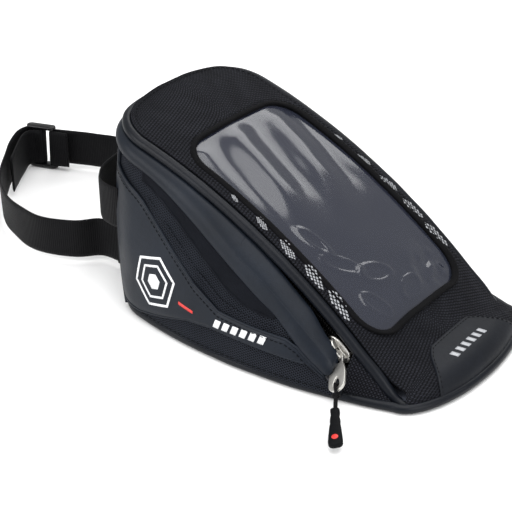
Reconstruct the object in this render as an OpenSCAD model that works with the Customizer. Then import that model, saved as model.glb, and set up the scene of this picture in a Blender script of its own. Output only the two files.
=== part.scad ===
// Strap-on motorcycle tank bag.
// Frame: millimetres, +X towards the rider (low nose), +Y to the bike's right, +Z up.
// Origin: centre of the base's widest length, on the plane that the base rests on.

/* [Base outline] */
// Distance from the origin to the tip of the nose
nose_x = 114; // [110:1:118]
// Widest width of the base
base_w = 159; // [154:1:164]
// Where along the length the base is widest
wide_x = -11; // [-15:1:-7]
// Radius of the long curve of each side of the base
side_r = 300; // [280:5:320]
// Length of the rounded nose
nose_l = 24; // [22:1:26]
// Radius of the two corners at the tall end
corner_r = 30; // [28:1:32]
// Where each side runs into its tall-end corner
corner_x = -72; // [-74:1:-70]
// Radius of the curve across the tall end
tall_end_r = 150; // [140:5:160]

/* [Lid outline] */
// Half of the lid's width, to the outside of its piping
lid_half_w = 57; // [56:0.5:58]
// Where the lid's straight sides run into its corners
lid_corner_x = -79; // [-80:1:-78]
// Radius of the lid's corners
lid_corner_r = 29; // [28:0.5:30]
// Radius of the curve across the lid's tall end
lid_end_r = 190; // [180:5:200]
// Radius of the lid's arched side profile
arch_r = 375; // [373:1:377]
// Where along the length the arch's centre lies
arch_x = -179; // [-180:0.5:-178]
// Height of the arch's centre, below the base plane
arch_z = -259.2; // [-260:0.2:-258]
// Where the lid folds, just behind the nose patch
fold_x = 78; // [77:0.5:79]
// How much the lid's middle stands above its edges
crown = 4; // [3:0.5:5]

/* [Layers] */
// Thickness of woven panel fabric
fabric_t = 1.2; // [1:0.1:1.4]
// Thickness of the wall's foam sheet
foam_t = 4; // [3.5:0.5:4]
// Thickness of the lining
lining_t = 0.6; // [0.5:0.1:0.7]
// Thickness of the stiffening board in the base
board_t = 2; // [1.5:0.5:2]
// Clearance between two sewn layers
layer_gap = 0.2; // [0.15:0.05:0.25]

/* [Piping] */
// Outside radius of the lid's piping
lid_pipe_r = 3; // [2.8:0.1:3.1]
// Outside radius of the base's piping
base_pipe_r = 2.5; // [2.3:0.1:2.6]
// Thickness of the wrap around the piping cord
wrap_t = 0.8; // [0.7:0.1:0.9]

/* [Window] */
// Half of the window opening's width
window_half_w = 44; // [42:1:45]
// Where the window starts at the tall end
window_x0 = -60; // [-62:1:-58]
// Where the window ends towards the nose
window_x1 = 69; // [67:1:70]
// Radius of the window's corners
window_r = 16; // [14:1:18]
// Thickness of the clear vinyl
vinyl_t = 0.5; // [0.4:0.1:0.6]

/* [Zip] */
// Depth of the zip's line below the lid's edge, square to the arch
zip_depth = 10.8; // [10.6:0.1:11]
// How far the zip's tapes lie inside the lid's edge
zip_inset = 4; // [3.9:0.1:4.1]
// Radius of one zip coil
coil_r = 1.1; // [1:0.1:1.2]
// Where the zip ends towards the nose
zip_end_x = 64; // [63:0.5:65]
// Angle of the slider around the arch, at the closed end
slider_angle = 39.6; // [39:0.1:40]
// Length of the slider's body
slider_l = 17; // [15:0.5:18]
// Width of the slider's body
slider_w = 9; // [8.6:0.2:9.2]
// Length of the pull tab between its pivot and its cord hole
tab_l = 18; // [16:1:20]
// Angle of the pull tab away from the zip
tab_angle = 52; // [50:1:54]
// Length of the rubber grip
grip_l = 26; // [24:1:27]

/* [Straps] */
// Width of the webbing
web_w = 25; // [24:1:25]
// Thickness of the webbing
web_t = 1.6; // [1.4:0.1:1.8]
// Height of the carry handle's middle line
handle_z = 58; // [56:1:60]
// Height of the headstock strap's middle line
strap_z = 13.6; // [13.2:0.2:14]

/* [Hidden] */

fabric_colour = [0.10, 0.10, 0.11];
leather_colour = [0.16, 0.18, 0.20];
webbing_colour = [0.07, 0.07, 0.08];
foam_colour = [0.35, 0.35, 0.37];
lining_colour = [0.22, 0.24, 0.28];
metal_colour = [0.78, 0.78, 0.76];

side_steps = 16;      // stations along one side
corner_steps = 6;     // stations round one corner
end_steps = 4;        // stations from a corner to the middle of the tall end
front_x = 79;         // where the side walls die out at the nose
wall_foot = 5.6;      // height of the wall's bottom edge, above the base piping
wall_bulge = 3;       // how far each wall bows out between its edges
lid_t = 2;            // thickness of the lid's panel
foam_top = 17.5;      // depth below the lid's edge where the foam and lining stop
fold_gap = 0.3;       // half of the gap at the lid's fold

// ---------- outlines ----------

function sagitta(r, d) = r - sqrt(r * r - d * d);
function mix(a, b, k) = a + (b - a) * k;
function smooth(k) = let (c = min(1, max(0, k))) c * c * (3 - 2 * c);
function unit(v) = v / norm(v);

// Half width of the base at x, along its long side curve.
function base_half(x) = base_w / 2 - sagitta(side_r, x - wide_x);
// Half width of the base at x, round its elliptical nose.
nose_start_x = nose_x - nose_l;
function nose_half(x) =
    base_half(nose_start_x) * sqrt(max(0, 1 - pow((x - nose_start_x) / nose_l, 2)));
function base_edge(x) = x > nose_start_x ? nose_half(x) : base_half(x);

// Arc of a tall-end corner, tangent to the side's curve and to the tall end's curve.
corner_tilt = asin((corner_x - wide_x) / side_r);
base_corner = [corner_x, base_half(corner_x)] - corner_r * [sin(corner_tilt), cos(corner_tilt)];
base_end_x = base_corner[0] + sqrt(pow(tall_end_r - corner_r, 2) - pow(base_corner[1], 2));
base_end_angle = atan2(base_corner[1], base_corner[0] - base_end_x);
lid_corner = [lid_corner_x, lid_half_w - lid_corner_r];
lid_end_x = lid_corner[0] + sqrt(pow(lid_end_r - lid_corner_r, 2) - pow(lid_corner[1], 2));
lid_end_angle = atan2(lid_corner[1], lid_corner[0] - lid_end_x);

// Half of each outline as stations, from the nose back along the side, round the corner
// and to the middle of the tall end. The two lists match station by station.
function base_half_outline(x0) = concat(
    [for (i = [0:side_steps]) let (x = mix(x0, corner_x, i / side_steps)) [x, base_edge(x)]],
    [for (i = [1:corner_steps])
        let (a = mix(90 - corner_tilt, base_end_angle, i / corner_steps))
        base_corner + corner_r * [cos(a), sin(a)]],
    [for (i = [1:end_steps])
        let (a = mix(base_end_angle, 180, i / end_steps))
        [base_end_x + tall_end_r * cos(a), tall_end_r * sin(a)]]);
function lid_half_outline(x0) = concat(
    [for (i = [0:side_steps])
        let (x = mix(x0, lid_corner_x, i / side_steps)) [x, min(lid_half_w, base_edge(x) - 0.5)]],
    [for (i = [1:corner_steps])
        let (a = mix(90, lid_end_angle, i / corner_steps))
        lid_corner + lid_corner_r * [cos(a), sin(a)]],
    [for (i = [1:end_steps])
        let (a = mix(lid_end_angle, 180, i / end_steps))
        [lid_end_x + lid_end_r * cos(a), lid_end_r * sin(a)]]);

// A half outline carried on along the other side: left is -Y, so it starts there.
function whole(half) = concat(
    [for (p = half) [p[0], -p[1]]],
    [for (i = [len(half) - 2:-1:0]) half[i]]);

base_line = whole(base_half_outline(front_x));
lid_line = whole(lid_half_outline(front_x));
stations = len(base_line);
middle = (stations - 1) / 2;
left_seam = side_steps + 3;             // station of the seam at the left rear corner
right_seam = stations - 1 - left_seam;

// ---------- lid surface ----------

function arch(x, r) = arch_z + sqrt(r * r - pow(x - arch_x, 2));
// Height of the lid's edge: the arch, eased into the low slope of the nose.
function slope_z(x) = 6 + (nose_x - 2 - x) * 0.12;
function edge_z(x) =
    let (a = arch(min(x, nose_x), arch_r), b = slope_z(x)) (a + b + sqrt(pow(a - b, 2) + 16)) / 2;
function crown_h(x) = crown * (1 + 0.5 * smooth((x - 20) / 60));
function lid_z(x, y) = edge_z(x) + crown_h(x) * (1 - pow(min(1, abs(y) / lid_half_w), 2));

// Frame at a station of the lid's edge: point, outward normal and upward normal.
function edge_point(line, i) = [line[i][0], line[i][1], edge_z(line[i][0])];
function edge_along(line, i) =
    unit(edge_point(line, min(i + 1, len(line) - 1)) - edge_point(line, max(i - 1, 0)));
function edge_out(line, i) = let (t = edge_along(line, i)) unit([t[1], -t[0], 0]) * -1;
function edge_up(line, i) =
    let (u = cross(edge_along(line, i), edge_out(line, i))) u[2] > 0 ? unit(u) : -unit(u);
// Point at w outside the lid's edge and h above it, square to the edge.
function at_edge(line, i, w, h) =
    edge_point(line, i) + w * edge_out(line, i) + h * edge_up(line, i);

// ---------- wall surface ----------

function wall_top(i) = edge_z(lid_line[i][0]) - 4;
// Point of the wall at a station and height, o outside its surface.
function wall(i, z, o) =
    let (s = (z - wall_foot) / max(1, wall_top(i) - wall_foot),
         p = mix(base_line[i], lid_line[i], s),
         n = edge_out(lid_line, i),
         b = o + 4 * wall_bulge * s * (1 - s) * min(1, (wall_top(i) - wall_foot) / 40))
    [p[0] + n[0] * b, p[1] + n[1] * b, z];

// ---------- closed solids from grids of points ----------

function grid_faces(rows, cols, first, flip) = [
    for (r = [0:rows - 2]) for (c = [0:cols - 2])
        let (a = first + r * cols + c, b = a + 1, d = a + cols, e = d + 1)
        each flip ? [[a, b, e], [a, e, d]] : [[a, e, b], [a, d, e]]];

// Closed sheet between two equal grids, each a list of rows of points.
module sheet(outer, inner) {
    rows = len(outer);
    cols = len(outer[0]);
    n = rows * cols;
    points = concat([for (r = outer) each r], [for (r = inner) each r]);
    rim = concat(
        [for (c = [0:cols - 1]) c],
        [for (r = [1:rows - 1]) r * cols + cols - 1],
        [for (c = [cols - 2:-1:0]) (rows - 1) * cols + c],
        [for (r = [rows - 2:-1:1]) r * cols]);
    sides = [for (k = [0:len(rim) - 1])
        let (a = rim[k], b = rim[(k + 1) % len(rim)])
        each [[a, b + n, b], [a, a + n, b + n]]];
    polyhedron(points, concat(
        grid_faces(rows, cols, 0, true), grid_faces(rows, cols, n, false), sides));
}

// Closed solid swept through a list of sections, each a loop of points.
module swept(sections, closed = false) {
    count = len(sections);
    n = len(sections[0]);
    points = [for (s = sections) each s];
    last = closed ? count - 1 : count - 2;
    skin = [for (r = [0:last]) for (c = [0:n - 1])
        let (a = r * n + c, b = r * n + (c + 1) % n,
             d = ((r + 1) % count) * n + c, e = ((r + 1) % count) * n + (c + 1) % n)
        each [[a, b, e], [a, e, d]]];
    caps = closed ? [] : [[for (c = [n - 1:-1:0]) c], [for (c = [0:n - 1]) (count - 1) * n + c]];
    polyhedron(points, concat(skin, caps));
}

// Sheet of wall between two stations, from height low(i) to high(i), between two offsets.
module wall_sheet(i0, i1, low, high, out, inn, rows = 5) {
    grid = function(o) [for (r = [0:rows]) [for (i = [i0:i1]) wall(i, mix(low(i), high(i), r / rows), o)]];
    sheet(grid(out), grid(inn));
}

// Section of round piping: a wrap open towards its sewing flange, around a cord.
function piping_section(r, steps = 10) =
    let (slit = 14, bore = r - wrap_t, flange = 2.2)
    concat(
        [[-r - flange, r * sin(slit)]],
        [for (k = [0:steps]) let (a = mix(180 - slit, slit - 180, k / steps)) r * [cos(a), sin(a)]],
        [[-r - flange, -r * sin(slit)]],
        [[-bore, -0.1]],
        [for (k = [0:steps - 2])
            let (a = mix(slit - 180 + 8, 180 - slit - 8, k / (steps - 2))) bore * [cos(a), sin(a)]],
        [[-bore, 0.1]]);
function ring(r, n) = [for (k = [0:n - 1]) r * [cos(-360 * k / n), sin(-360 * k / n)]];

// ---------- base ----------

// Base outline pulled in by d, as one closed loop.
base_loop = concat(
    [for (p = whole(base_half_outline(nose_start_x))) p],
    [for (a = [80:-16:-80]) [nose_start_x + nose_l * cos(a), base_half(nose_start_x) * sin(a)]]);
function loop_out(loop, i) =
    let (n = len(loop), t = unit(loop[(i + 1) % n] - loop[(i + n - 1) % n])) [-t[1], t[0]];
function inset_loop(loop, d) = [for (i = [0:len(loop) - 1]) loop[i] - d * loop_out(loop, i)];

module base_panel() {
    color(fabric_colour)
        linear_extrude(fabric_t + 0.4) polygon(inset_loop(base_loop, 2 * base_pipe_r + 0.4));
}

module base_board() {
    color(foam_colour) translate([0, 0, fabric_t + 0.4 + layer_gap])
        linear_extrude(board_t) polygon(inset_loop(base_loop, 2 * base_pipe_r + 3.4));
}

module base_loop_sweep(section) {
    n = len(base_loop);
    swept([for (i = [0:n - 1])
        let (out = loop_out(base_loop, i), c = base_loop[i] - base_pipe_r * out)
        [for (q = section) [c[0] + out[0] * q[0], c[1] + out[1] * q[0], base_pipe_r + 0.3 + q[1]]]],
        closed = true);
}

module base_piping() {
    color(leather_colour) base_loop_sweep(piping_section(base_pipe_r, 7));
}

module base_piping_cord() {
    color(webbing_colour) base_loop_sweep(ring(base_pipe_r - wrap_t - 0.35, 8));
}

// ---------- walls ----------

function station_x(i) = base_line[i][0];
// Depths below the lid's edge: of the storm band's lip and of its lower edge.
function lip_depth(x) = 7.5 + 12.5 * smooth((x + 38) / 38);
function band_depth(x) =
    let (widest = 9, reach = x < widest ? 85 : 58, sweep = min(180, 180 * abs(x - widest) / reach))
    max(lip_depth(x) + 1.5, 14 + 5 * (1 + cos(sweep)));
function edge_height(i) = edge_z(lid_line[i][0]);
function band_low(i) = edge_height(i) - band_depth(station_x(i));
function band_lip(i) = edge_height(i) - lip_depth(station_x(i));
function panel_top(i) = max(wall_foot + 1.5,
    station_x(i) > 70 ? edge_height(i) - 6.6 : band_lip(i) - 1.5 - slider_room(i));
// The lining stops lower where the steep end of the arch tips the zip tape's floor.
function inner_drop(i) = 1.6 + 1.4 * smooth((50 - station_x(i)) / 30);
// The wall dips beside the closed slider, which leaves room for its pull tab.
function slider_room(i) = 5 * smooth((station_x(i) - 44) / 10);
function inner_top(i) = max(wall_foot + 1, edge_height(i) - foam_top - inner_drop(i) - slider_room(i));
zip_station = 2;                        // first station behind the zip's front end
wing_station = 3;                       // first station of the wing panel

module left_side_panel() {
    color(fabric_colour)
        wall_sheet(0, left_seam, function(i) wall_foot, function(i) panel_top(i), 0, -fabric_t);
}
module right_side_panel() { mirror([0, 1, 0]) left_side_panel(); }

foam_out = -fabric_t - layer_gap;
lining_out = foam_out - foam_t - layer_gap;
module left_side_foam() {
    color(foam_colour) wall_sheet(zip_station, left_seam, function(i) wall_foot,
        function(i) inner_top(i), foam_out, foam_out - foam_t);
}
module right_side_foam() { mirror([0, 1, 0]) left_side_foam(); }

// The wing: a leatherette panel that starts as a triangle at the tall end's corner and
// sweeps forward as a narrow strip.
function wing_high(i) = min(band_low(i) - 0.5,
    lookup(station_x(i),
        [[-90, 87], [-66, 71], [-43, 51], [-27, 38], [-10, 29], [10, 27], [31, 26], [56, 16.5]]));
function wing_low(i) = min(wing_high(i) - 1.5,
    lookup(station_x(i), [[-90, 7], [-68, 7.5], [-49, 12], [-30, 17.5], [-14, 19], [45, 16.5], [56, 13.5]]));
module left_wing_panel() {
    color(leather_colour) wall_sheet(wing_station, left_seam, function(i) wing_low(i),
        function(i) wing_high(i), layer_gap + 1, layer_gap, rows = 4);
}
module right_wing_panel() { mirror([0, 1, 0]) left_wing_panel(); }

// The shoulder: a soft panel between the mesh and the storm band.
function shoulder_low(i) =
    lookup(station_x(i), [[-66, 82], [-53, 75.5], [-39, 65.5], [-18, 50], [-7, 42], [4, 37], [16, 34.5]]);
module left_shoulder_panel() {
    color(lining_colour) wall_sheet(7, 15, function(i) shoulder_low(i),
        function(i) band_low(i) - 0.4, layer_gap + 1, layer_gap, rows = 3);
}
module right_shoulder_panel() { mirror([0, 1, 0]) left_shoulder_panel(); }

seam_gap = 0.4;                         // gap at the two rear seams, as a share of a station
function rear_wall(k, z, o) =
    let (i = floor(k), f = k - i) mix(wall(i, z, o), wall(min(i + 1, stations - 1), z, o), f);
function rear_stations() = concat([left_seam + seam_gap], [for (i = [left_seam + 1:right_seam - 1]) i],
    [right_seam - seam_gap]);
module rear_sheet(out, inn, top) {
    ks = rear_stations();
    rows = 5;
    grid = function(o) [for (r = [0:rows]) [for (k = ks)
        rear_wall(k, mix(wall_foot, top(round(k)), r / rows), o)]];
    sheet(grid(out), grid(inn));
}
module tall_end_panel() {
    color(leather_colour) rear_sheet(0, -fabric_t, function(i) panel_top(i));
}
module tall_end_foam() {
    color(foam_colour) rear_sheet(foam_out, foam_out - foam_t, function(i) inner_top(i));
}

// One leatherette band round both sides and the tall end, over the zip.
module storm_band() {
    rows = 6;
    flare = function(k) layer_gap + 0.8 * smooth(k);
    bulge = function(i) min(0.8, 0.2 * (band_lip(i) - band_low(i)));
    height = function(i, k) mix(band_low(i), band_lip(i), k);
    first = zip_station + 1;
    last = stations - 1 - first;
    grid = function(t) [for (r = [0:rows]) let (k = r / rows) [for (i = [first:last])
        wall(i, height(i, k), flare(k) + (t > 0 ? t + bulge(i) * sin(180 * k) : 0))]];
    color(leather_colour) sheet(grid(fabric_t), grid(0));
}

module wall_lining() {
    first = zip_station;
    last = stations - 1 - zip_station;
    color(lining_colour) wall_sheet(first, last, function(i) wall_foot,
        function(i) inner_top(i), lining_out, lining_out - lining_t, rows = 4);
}

floor_z = fabric_t + 0.4 + board_t + 2 * layer_gap;
module floor_lining() {
    color(lining_colour) translate([0, 0, floor_z])
        linear_extrude(lining_t) polygon(inset_loop(base_loop, 2 * base_pipe_r + 5));
}

// ---------- nose ----------

// Sheet between two surfaces, from x0 to x1 and half(x) to each side.
module crowned_sheet(x0, x1, half, top, bottom, rows = 8, cols = 10) {
    grid = function(z) [for (r = [0:rows]) let (x = mix(x0, x1, r / rows)) [for (c = [0:cols])
        let (y = half(x) * (2 * c / cols - 1)) [x, y, z(x, y)]]];
    sheet(grid(top), grid(bottom));
}
function nose_half_w(x) = min(lid_half_w - 2 * lid_pipe_r - 0.2, base_edge(x) - 2 * base_pipe_r - 0.4);
nose_end_x = nose_x - 2 * base_pipe_r - 1;

module nose_panel() {
    color(fabric_colour) crowned_sheet(fold_x + fold_gap, nose_end_x, function(x) nose_half_w(x),
        function(x, y) lid_z(x, y), function(x, y) lid_z(x, y) - fabric_t);
}
module nose_padding() {
    color(foam_colour) crowned_sheet(fold_x + fold_gap + 1, nose_end_x - 4, function(x) nose_half_w(x) - 2,
        function(x, y) lid_z(x, y) - fabric_t - layer_gap, function(x, y) 2 * base_pipe_r + 0.5);
}
patch_x = 86;                           // rear edge of the nose patch
function patch_half(x) = min(nose_half_w(x), mix(22, 43, sqrt(max(0, (x - patch_x + 1) / 20))));
module nose_patch() {
    color(leather_colour) crowned_sheet(patch_x, nose_end_x, function(x) patch_half(x),
        function(x, y) lid_z(x, y) + layer_gap + 1, function(x, y) lid_z(x, y) + layer_gap);
}

// The lid's piping carries on past the fold, down to the base's piping.
module nose_piping() {
    steps = 5;
    end_x = 91;
    end_rise = 1.9;                     // it climbs onto the base's lining at its end
    line = [for (k = [0:steps]) [mix(end_x, fold_x + fold_gap, k / steps), -lid_half_w]];
    section = piping_section(lid_pipe_r, 8);
    module one_side() swept([for (i = [0:steps]) [for (q = section)
        at_edge(line, i, q[0] - lid_pipe_r, q[1] - lid_pipe_r + end_rise * smooth((line[i][0] - 81) / 8))]]);
    color(leather_colour) { one_side(); mirror([0, 1, 0]) one_side(); }
}

// ---------- lid ----------

lid_path = whole(lid_half_outline(fold_x - fold_gap));
zip_path = whole(lid_half_outline(zip_end_x));

// Section swept along a line of the lid's edge, its centre at w outside and h above the edge.
module edge_sweep(line, section, w, h) {
    swept([for (i = [0:len(line) - 1]) [for (q = section) at_edge(line, i, w + q[0], h + q[1])]]);
}
function box_section(w0, w1, h0, h1) = [[w0, h0], [w0, h1], [w1, h1], [w1, h0]];

// Crowned sheet over the whole lid, inset from its edge, between two offsets of its surface.
module lid_sheet(top, bottom, inset = 2 * lid_pipe_r + 0.2) {
    rows = (len(lid_path) - 1) / 2 - 1;
    cols = 8;
    at = function(i) let (p = at_edge(lid_path, i, -inset, 0)) [p[0], -p[1]];
    grid = function(z) [for (r = [0:rows]) let (p = at(r)) [for (c = [0:cols])
        let (y = p[1] * (1 - 2 * c / cols)) [p[0], y, lid_z(p[0], y) + z]]];
    sheet(grid(top), grid(bottom));
}

module window_shape(grow) {
    r = window_r + grow;
    x0 = window_x0 - grow;
    x1 = window_x1 + grow;
    half = window_half_w + grow;
    union() {
        translate([x0 + r, -half]) square([x1 - x0 - 2 * r, 2 * half]);
        translate([x0, r - half]) square([x1 - x0, 2 * half - 2 * r]);
        for (x = [x0 + r, x1 - r]) for (y = [r - half, half - r]) translate([x, y]) circle(r, $fn = 48);
    }
}
prism_h = 160;

module lid_panel() {
    color(fabric_colour) difference() {
        lid_sheet(0, -lid_t);
        linear_extrude(prism_h) window_shape(binding_w + layer_gap);
    }
}
// Half width of the window, grown by g, at x: its straight side less its corner's arc.
function window_half(x, g) =
    let (r = window_r + g, d = max(0, max(window_x0 + window_r - x, x - window_x1 + window_r)))
    window_half_w + g - sagitta(r, min(d, r));
module window_vinyl() {
    grow = 2.5;
    color([0.6, 0.65, 0.75, 0.35])
        crowned_sheet(window_x0 - grow + 0.1, window_x1 + grow - 0.1, function(x) window_half(x, grow),
            function(x, y) lid_z(x, y) - lid_t - layer_gap,
            function(x, y) lid_z(x, y) - lid_t - layer_gap - vinyl_t, rows = 22);
}
// Narrow tape that binds the edge of the window opening.
binding_w = 2.5;
module window_binding() {
    corner = function(x, y, a0) [for (k = [0:5]) let (a = a0 + 18 * k)
        [x, y, cos(a), sin(a)]];
    x0 = window_x0 + window_r;
    x1 = window_x1 - window_r;
    half = window_half_w - window_r;
    sides = 8;
    ends = 6;
    loop = concat(corner(x1, -half, -90),
        [for (k = [1:ends - 1]) [x1, mix(-half, half, k / ends), 1, 0]], corner(x1, half, 0),
        [for (k = [1:sides - 1]) [mix(x1, x0, k / sides), half, 0, 1]],
        corner(x0, half, 90),
        [for (k = [1:ends - 1]) [x0, mix(half, -half, k / ends), -1, 0]],
        corner(x0, -half, 180),
        [for (k = [1:sides - 1]) [mix(x0, x1, k / sides), -half, 0, -1]]);
    color(webbing_colour) swept([for (p = reversed(loop))
        [for (q = box_section(-0.5, binding_w, 0.3 - lid_t, 0.9))
            let (x = p[0] + p[2] * (window_r + q[0]), y = p[1] + p[3] * (window_r + q[0]))
            [x, y, lid_z(x, y) + q[1]]]], closed = true);
}
module map_pocket_floor() { color(lining_colour) lid_sheet(-5, -5.8, 2 * lid_pipe_r + 3.2); }

// Hook and loop strips that close the map pocket at the tall end.
strip_w = 15;
strip_half_l = 35;
module pocket_strip(top, bottom) {
    x1 = window_x0 - 6;
    color(webbing_colour) crowned_sheet(x1 - strip_w, x1, function(x) strip_half_l,
        function(x, y) lid_z(x, y) + top, function(x, y) lid_z(x, y) + bottom, rows = 3);
}
module pocket_hook_tape() { pocket_strip(-lid_t - 0.3, -lid_t - 1.3); }
module pocket_loop_tape() { pocket_strip(-lid_t - 1.6, -lid_t - 2.6); }

module lid_piping() {
    color(leather_colour) edge_sweep(lid_path, piping_section(lid_pipe_r, 8), -lid_pipe_r, -lid_pipe_r);
}
module lid_piping_cord() {
    color(webbing_colour)
        edge_sweep(lid_path, ring(lid_pipe_r - wrap_t - 0.25, 8), -lid_pipe_r, -lid_pipe_r);
}

// ---------- zip ----------

tape_t = 0.6;
coil_gap = 1.6;                         // open width between the two coils
coil_w = -zip_inset + coil_r + 0.05;    // the coils stand on the tapes' outer faces
coil_h = coil_gap / 2 + coil_r;

module upper_zip_tape() {
    color(fabric_colour) edge_sweep(zip_path,
        box_section(-zip_inset - tape_t, -zip_inset, -zip_depth + coil_gap / 2, -2 * lid_pipe_r - 0.2), 0, 0);
}
module upper_zip_coil() {
    color(webbing_colour) edge_sweep(zip_path, ring(coil_r, 8), coil_w, -zip_depth + coil_h);
}
// The lower tape turns outwards below the zip as the floor of the zip's groove.
module lower_zip_tape() {
    groove_h = -foam_top + 0.9;
    top_h = -zip_depth - coil_gap / 2;
    color(fabric_colour) swept([for (i = [0:len(zip_path) - 1])
        let (reach = -2.2 + 4.4 * smooth((zip_path[i][0] + 60) / 65))
        [for (q = [[-zip_inset - tape_t, top_h], [-zip_inset, top_h], [-zip_inset, groove_h],
                   [reach, groove_h], [reach, groove_h - tape_t], [-zip_inset - tape_t, groove_h - tape_t]])
            at_edge(zip_path, i, q[0], q[1])]]);
}
module lower_zip_coil() {
    color(webbing_colour) edge_sweep(zip_path, ring(coil_r, 8), coil_w, -zip_depth - coil_h);
}

// Places children at an angle around the arch, on the zip's line on the left side:
// X along the zip towards the nose, Y up across it, Z outwards.
module on_zip(angle) {
    translate([arch_x, 0, arch_z]) rotate([0, angle, 0])
        translate([0, -lid_half_w - coil_w, arch_r - zip_depth]) rotate([90, 0, 0]) children();
}
stop_angle = asin((zip_end_x + 2.2 - arch_x) / (arch_r - zip_depth));
module zip_end_stops() {
    module stop() on_zip(stop_angle) translate([-1.2, -4.5, -1.1]) cube([2.4, 3.6, 2.2]);
    color(metal_colour) { stop(); mirror([0, 1, 0]) stop(); }
}

plate_t = 1.2;
top_plate_z = coil_r + 0.15;
low_plate_z = -coil_r - tape_t - 0.35;
post_x = slider_l / 2 - 2.6;
crown_z = top_plate_z + plate_t;
crown_rise = 4.2;
pivot_x = 3;
pivot_z = crown_z + 2.7;
pin_r = 0.6;

// Slider plate: straight sides that draw in to a narrower, rounded tail.
module slider_plate(t) {
    linear_extrude(t) intersection() {
        square([slider_l, slider_w], center = true);
        union() {
            translate([slider_l / 2 - slider_w / 2, 0]) circle(slider_w / 2, $fn = 48);
            polygon([[slider_l / 2 - slider_w / 2, slider_w / 2], [slider_l / 2 - slider_w / 2, -slider_w / 2],
                     [-slider_l / 2, -slider_w * 0.4], [-slider_l / 2, slider_w * 0.4]]);
        }
    }
}
module slider_body() {
    post_l = 2.4;
    post_w = coil_gap - 0.4;
    color(metal_colour) on_zip(slider_angle) union() {
        translate([0, 0, top_plate_z]) slider_plate(plate_t);
        translate([0, 0, low_plate_z - plate_t]) slider_plate(plate_t);
        translate([post_x - post_l / 2, -post_w / 2, low_plate_z - plate_t / 2])
            cube([post_l, post_w, top_plate_z - low_plate_z + plate_t]);
    }
}
// The crown bridges the slider lengthwise; its bore carries the pull tab's pin.
crown_w = 2.6;
module slider_crown() {
    color(metal_colour) on_zip(slider_angle) translate([0, crown_w / 2, crown_z + 0.05]) rotate([90, 0, 0])
        linear_extrude(crown_w) difference() {
            polygon([[-6.5, 0], [-5.5, 2.6], [-3.4, crown_rise], [4.2, crown_rise], [5.6, 2.4], [5.6, 0],
                     [1.2, 0], [0.6, 2.6], [-3.6, 2.6], [-4.4, 0]]);
            translate([pivot_x, pivot_z - crown_z - 0.05]) circle(pin_r + 0.06, $fn = 32);
        }
}

module on_tab() {
    on_zip(slider_angle) translate([pivot_x, 0, pivot_z]) rotate([0, -tab_angle, 0]) children();
}
arm_y = crown_w / 2 + 0.25;
arm_w = 1.9;
tab_t = 1.3;
cord_hole_r = 0.9;
tab_half_w = 4.4;
module pull_tab() {
    arm_mid = arm_y + arm_w / 2;
    color(metal_colour) on_tab() union() {
        rotate([90, 0, 0]) cylinder(r = pin_r, h = 2 * (arm_y + 0.4), center = true, $fn = 32);
        for (side = [-1, 1]) translate([0, side * arm_mid, 0]) rotate([90, 0, 0])
            cylinder(r = 1.25, h = arm_w, center = true, $fn = 32);
        translate([0, 0, -tab_t / 2]) linear_extrude(tab_t) difference() {
            union() {
                for (side = [-1, 1]) translate([3.2, side * arm_mid]) square([6.4, arm_w], center = true);
                polygon([[5.2, -arm_mid], [5.2, arm_mid], [6, arm_y + arm_w], [tab_l - 3, tab_half_w],
                         [tab_l + 1.6, tab_half_w - 1], [tab_l + 1.6, 1 - tab_half_w],
                         [tab_l - 3, -tab_half_w], [6, -arm_y - arm_w]]);
                translate([tab_l, 0]) circle(tab_half_w - 1.4, $fn = 48);
            }
            translate([tab_l, 0]) circle(cord_hole_r, $fn = 32);
            translate([tab_l - 7, 0]) circle(2.3, $fn = 48);
        }
    }
}

// The cord passes through the tab's end hole and lies along both of its faces.
cord_r = 0.84;
cord_off = tab_t / 2 + cord_r + 0.25;
cord_l = 13;
module pull_cord() {
    color(webbing_colour) on_tab() translate([tab_l, 0, 0]) {
        translate([0, 0, -cord_off]) cylinder(r = cord_r, h = 2 * cord_off, $fn = 24);
        for (side = [-1, 1]) translate([0, 0, side * cord_off]) {
            sphere(cord_r, $fn = 24);
            rotate([0, 90, 0]) cylinder(r = cord_r, h = cord_l, $fn = 24);
        }
    }
}
grip_t = 2 * (cord_off + cord_r) + 0.8;
grip_root_w = 4.6;
grip_end_w = 8.6;
grip_droop = 7;      // how much steeper the grip hangs than the tab
grip_lean = 18;
module on_grip() {
    on_tab() translate([tab_l + cord_l + 0.1, 0, 0])
        rotate([0, -grip_droop, 0]) rotate([0, 0, grip_lean]) children();
}
inlay_r = 1.7;
inlay_x = grip_l - 5;
grip_root_x = 1.5;
module pull_grip() {
    end_r = grip_end_w / 2;
    end_x = grip_l - end_r;
    outline = concat([[0, grip_root_w / 2], [0, -grip_root_w / 2]],
        [for (a = [-80:16:80]) [end_x + end_r * cos(a), end_r * sin(a)]]);
    color(fabric_colour) on_grip() difference() {
        translate([grip_root_x, 0, -grip_t / 2]) linear_extrude(grip_t) polygon(outline);
        translate([inlay_x, 0, grip_t / 2 - 0.6]) cylinder(r = inlay_r + 0.1, h = 2, $fn = 32);
    }
}
module grip_inlay() {
    color([0.75, 0.12, 0.10]) on_grip() translate([inlay_x, 0, grip_t / 2 - 0.55])
        cylinder(r = inlay_r, h = 0.7, $fn = 32);
}

// ---------- webbing ----------

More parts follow.
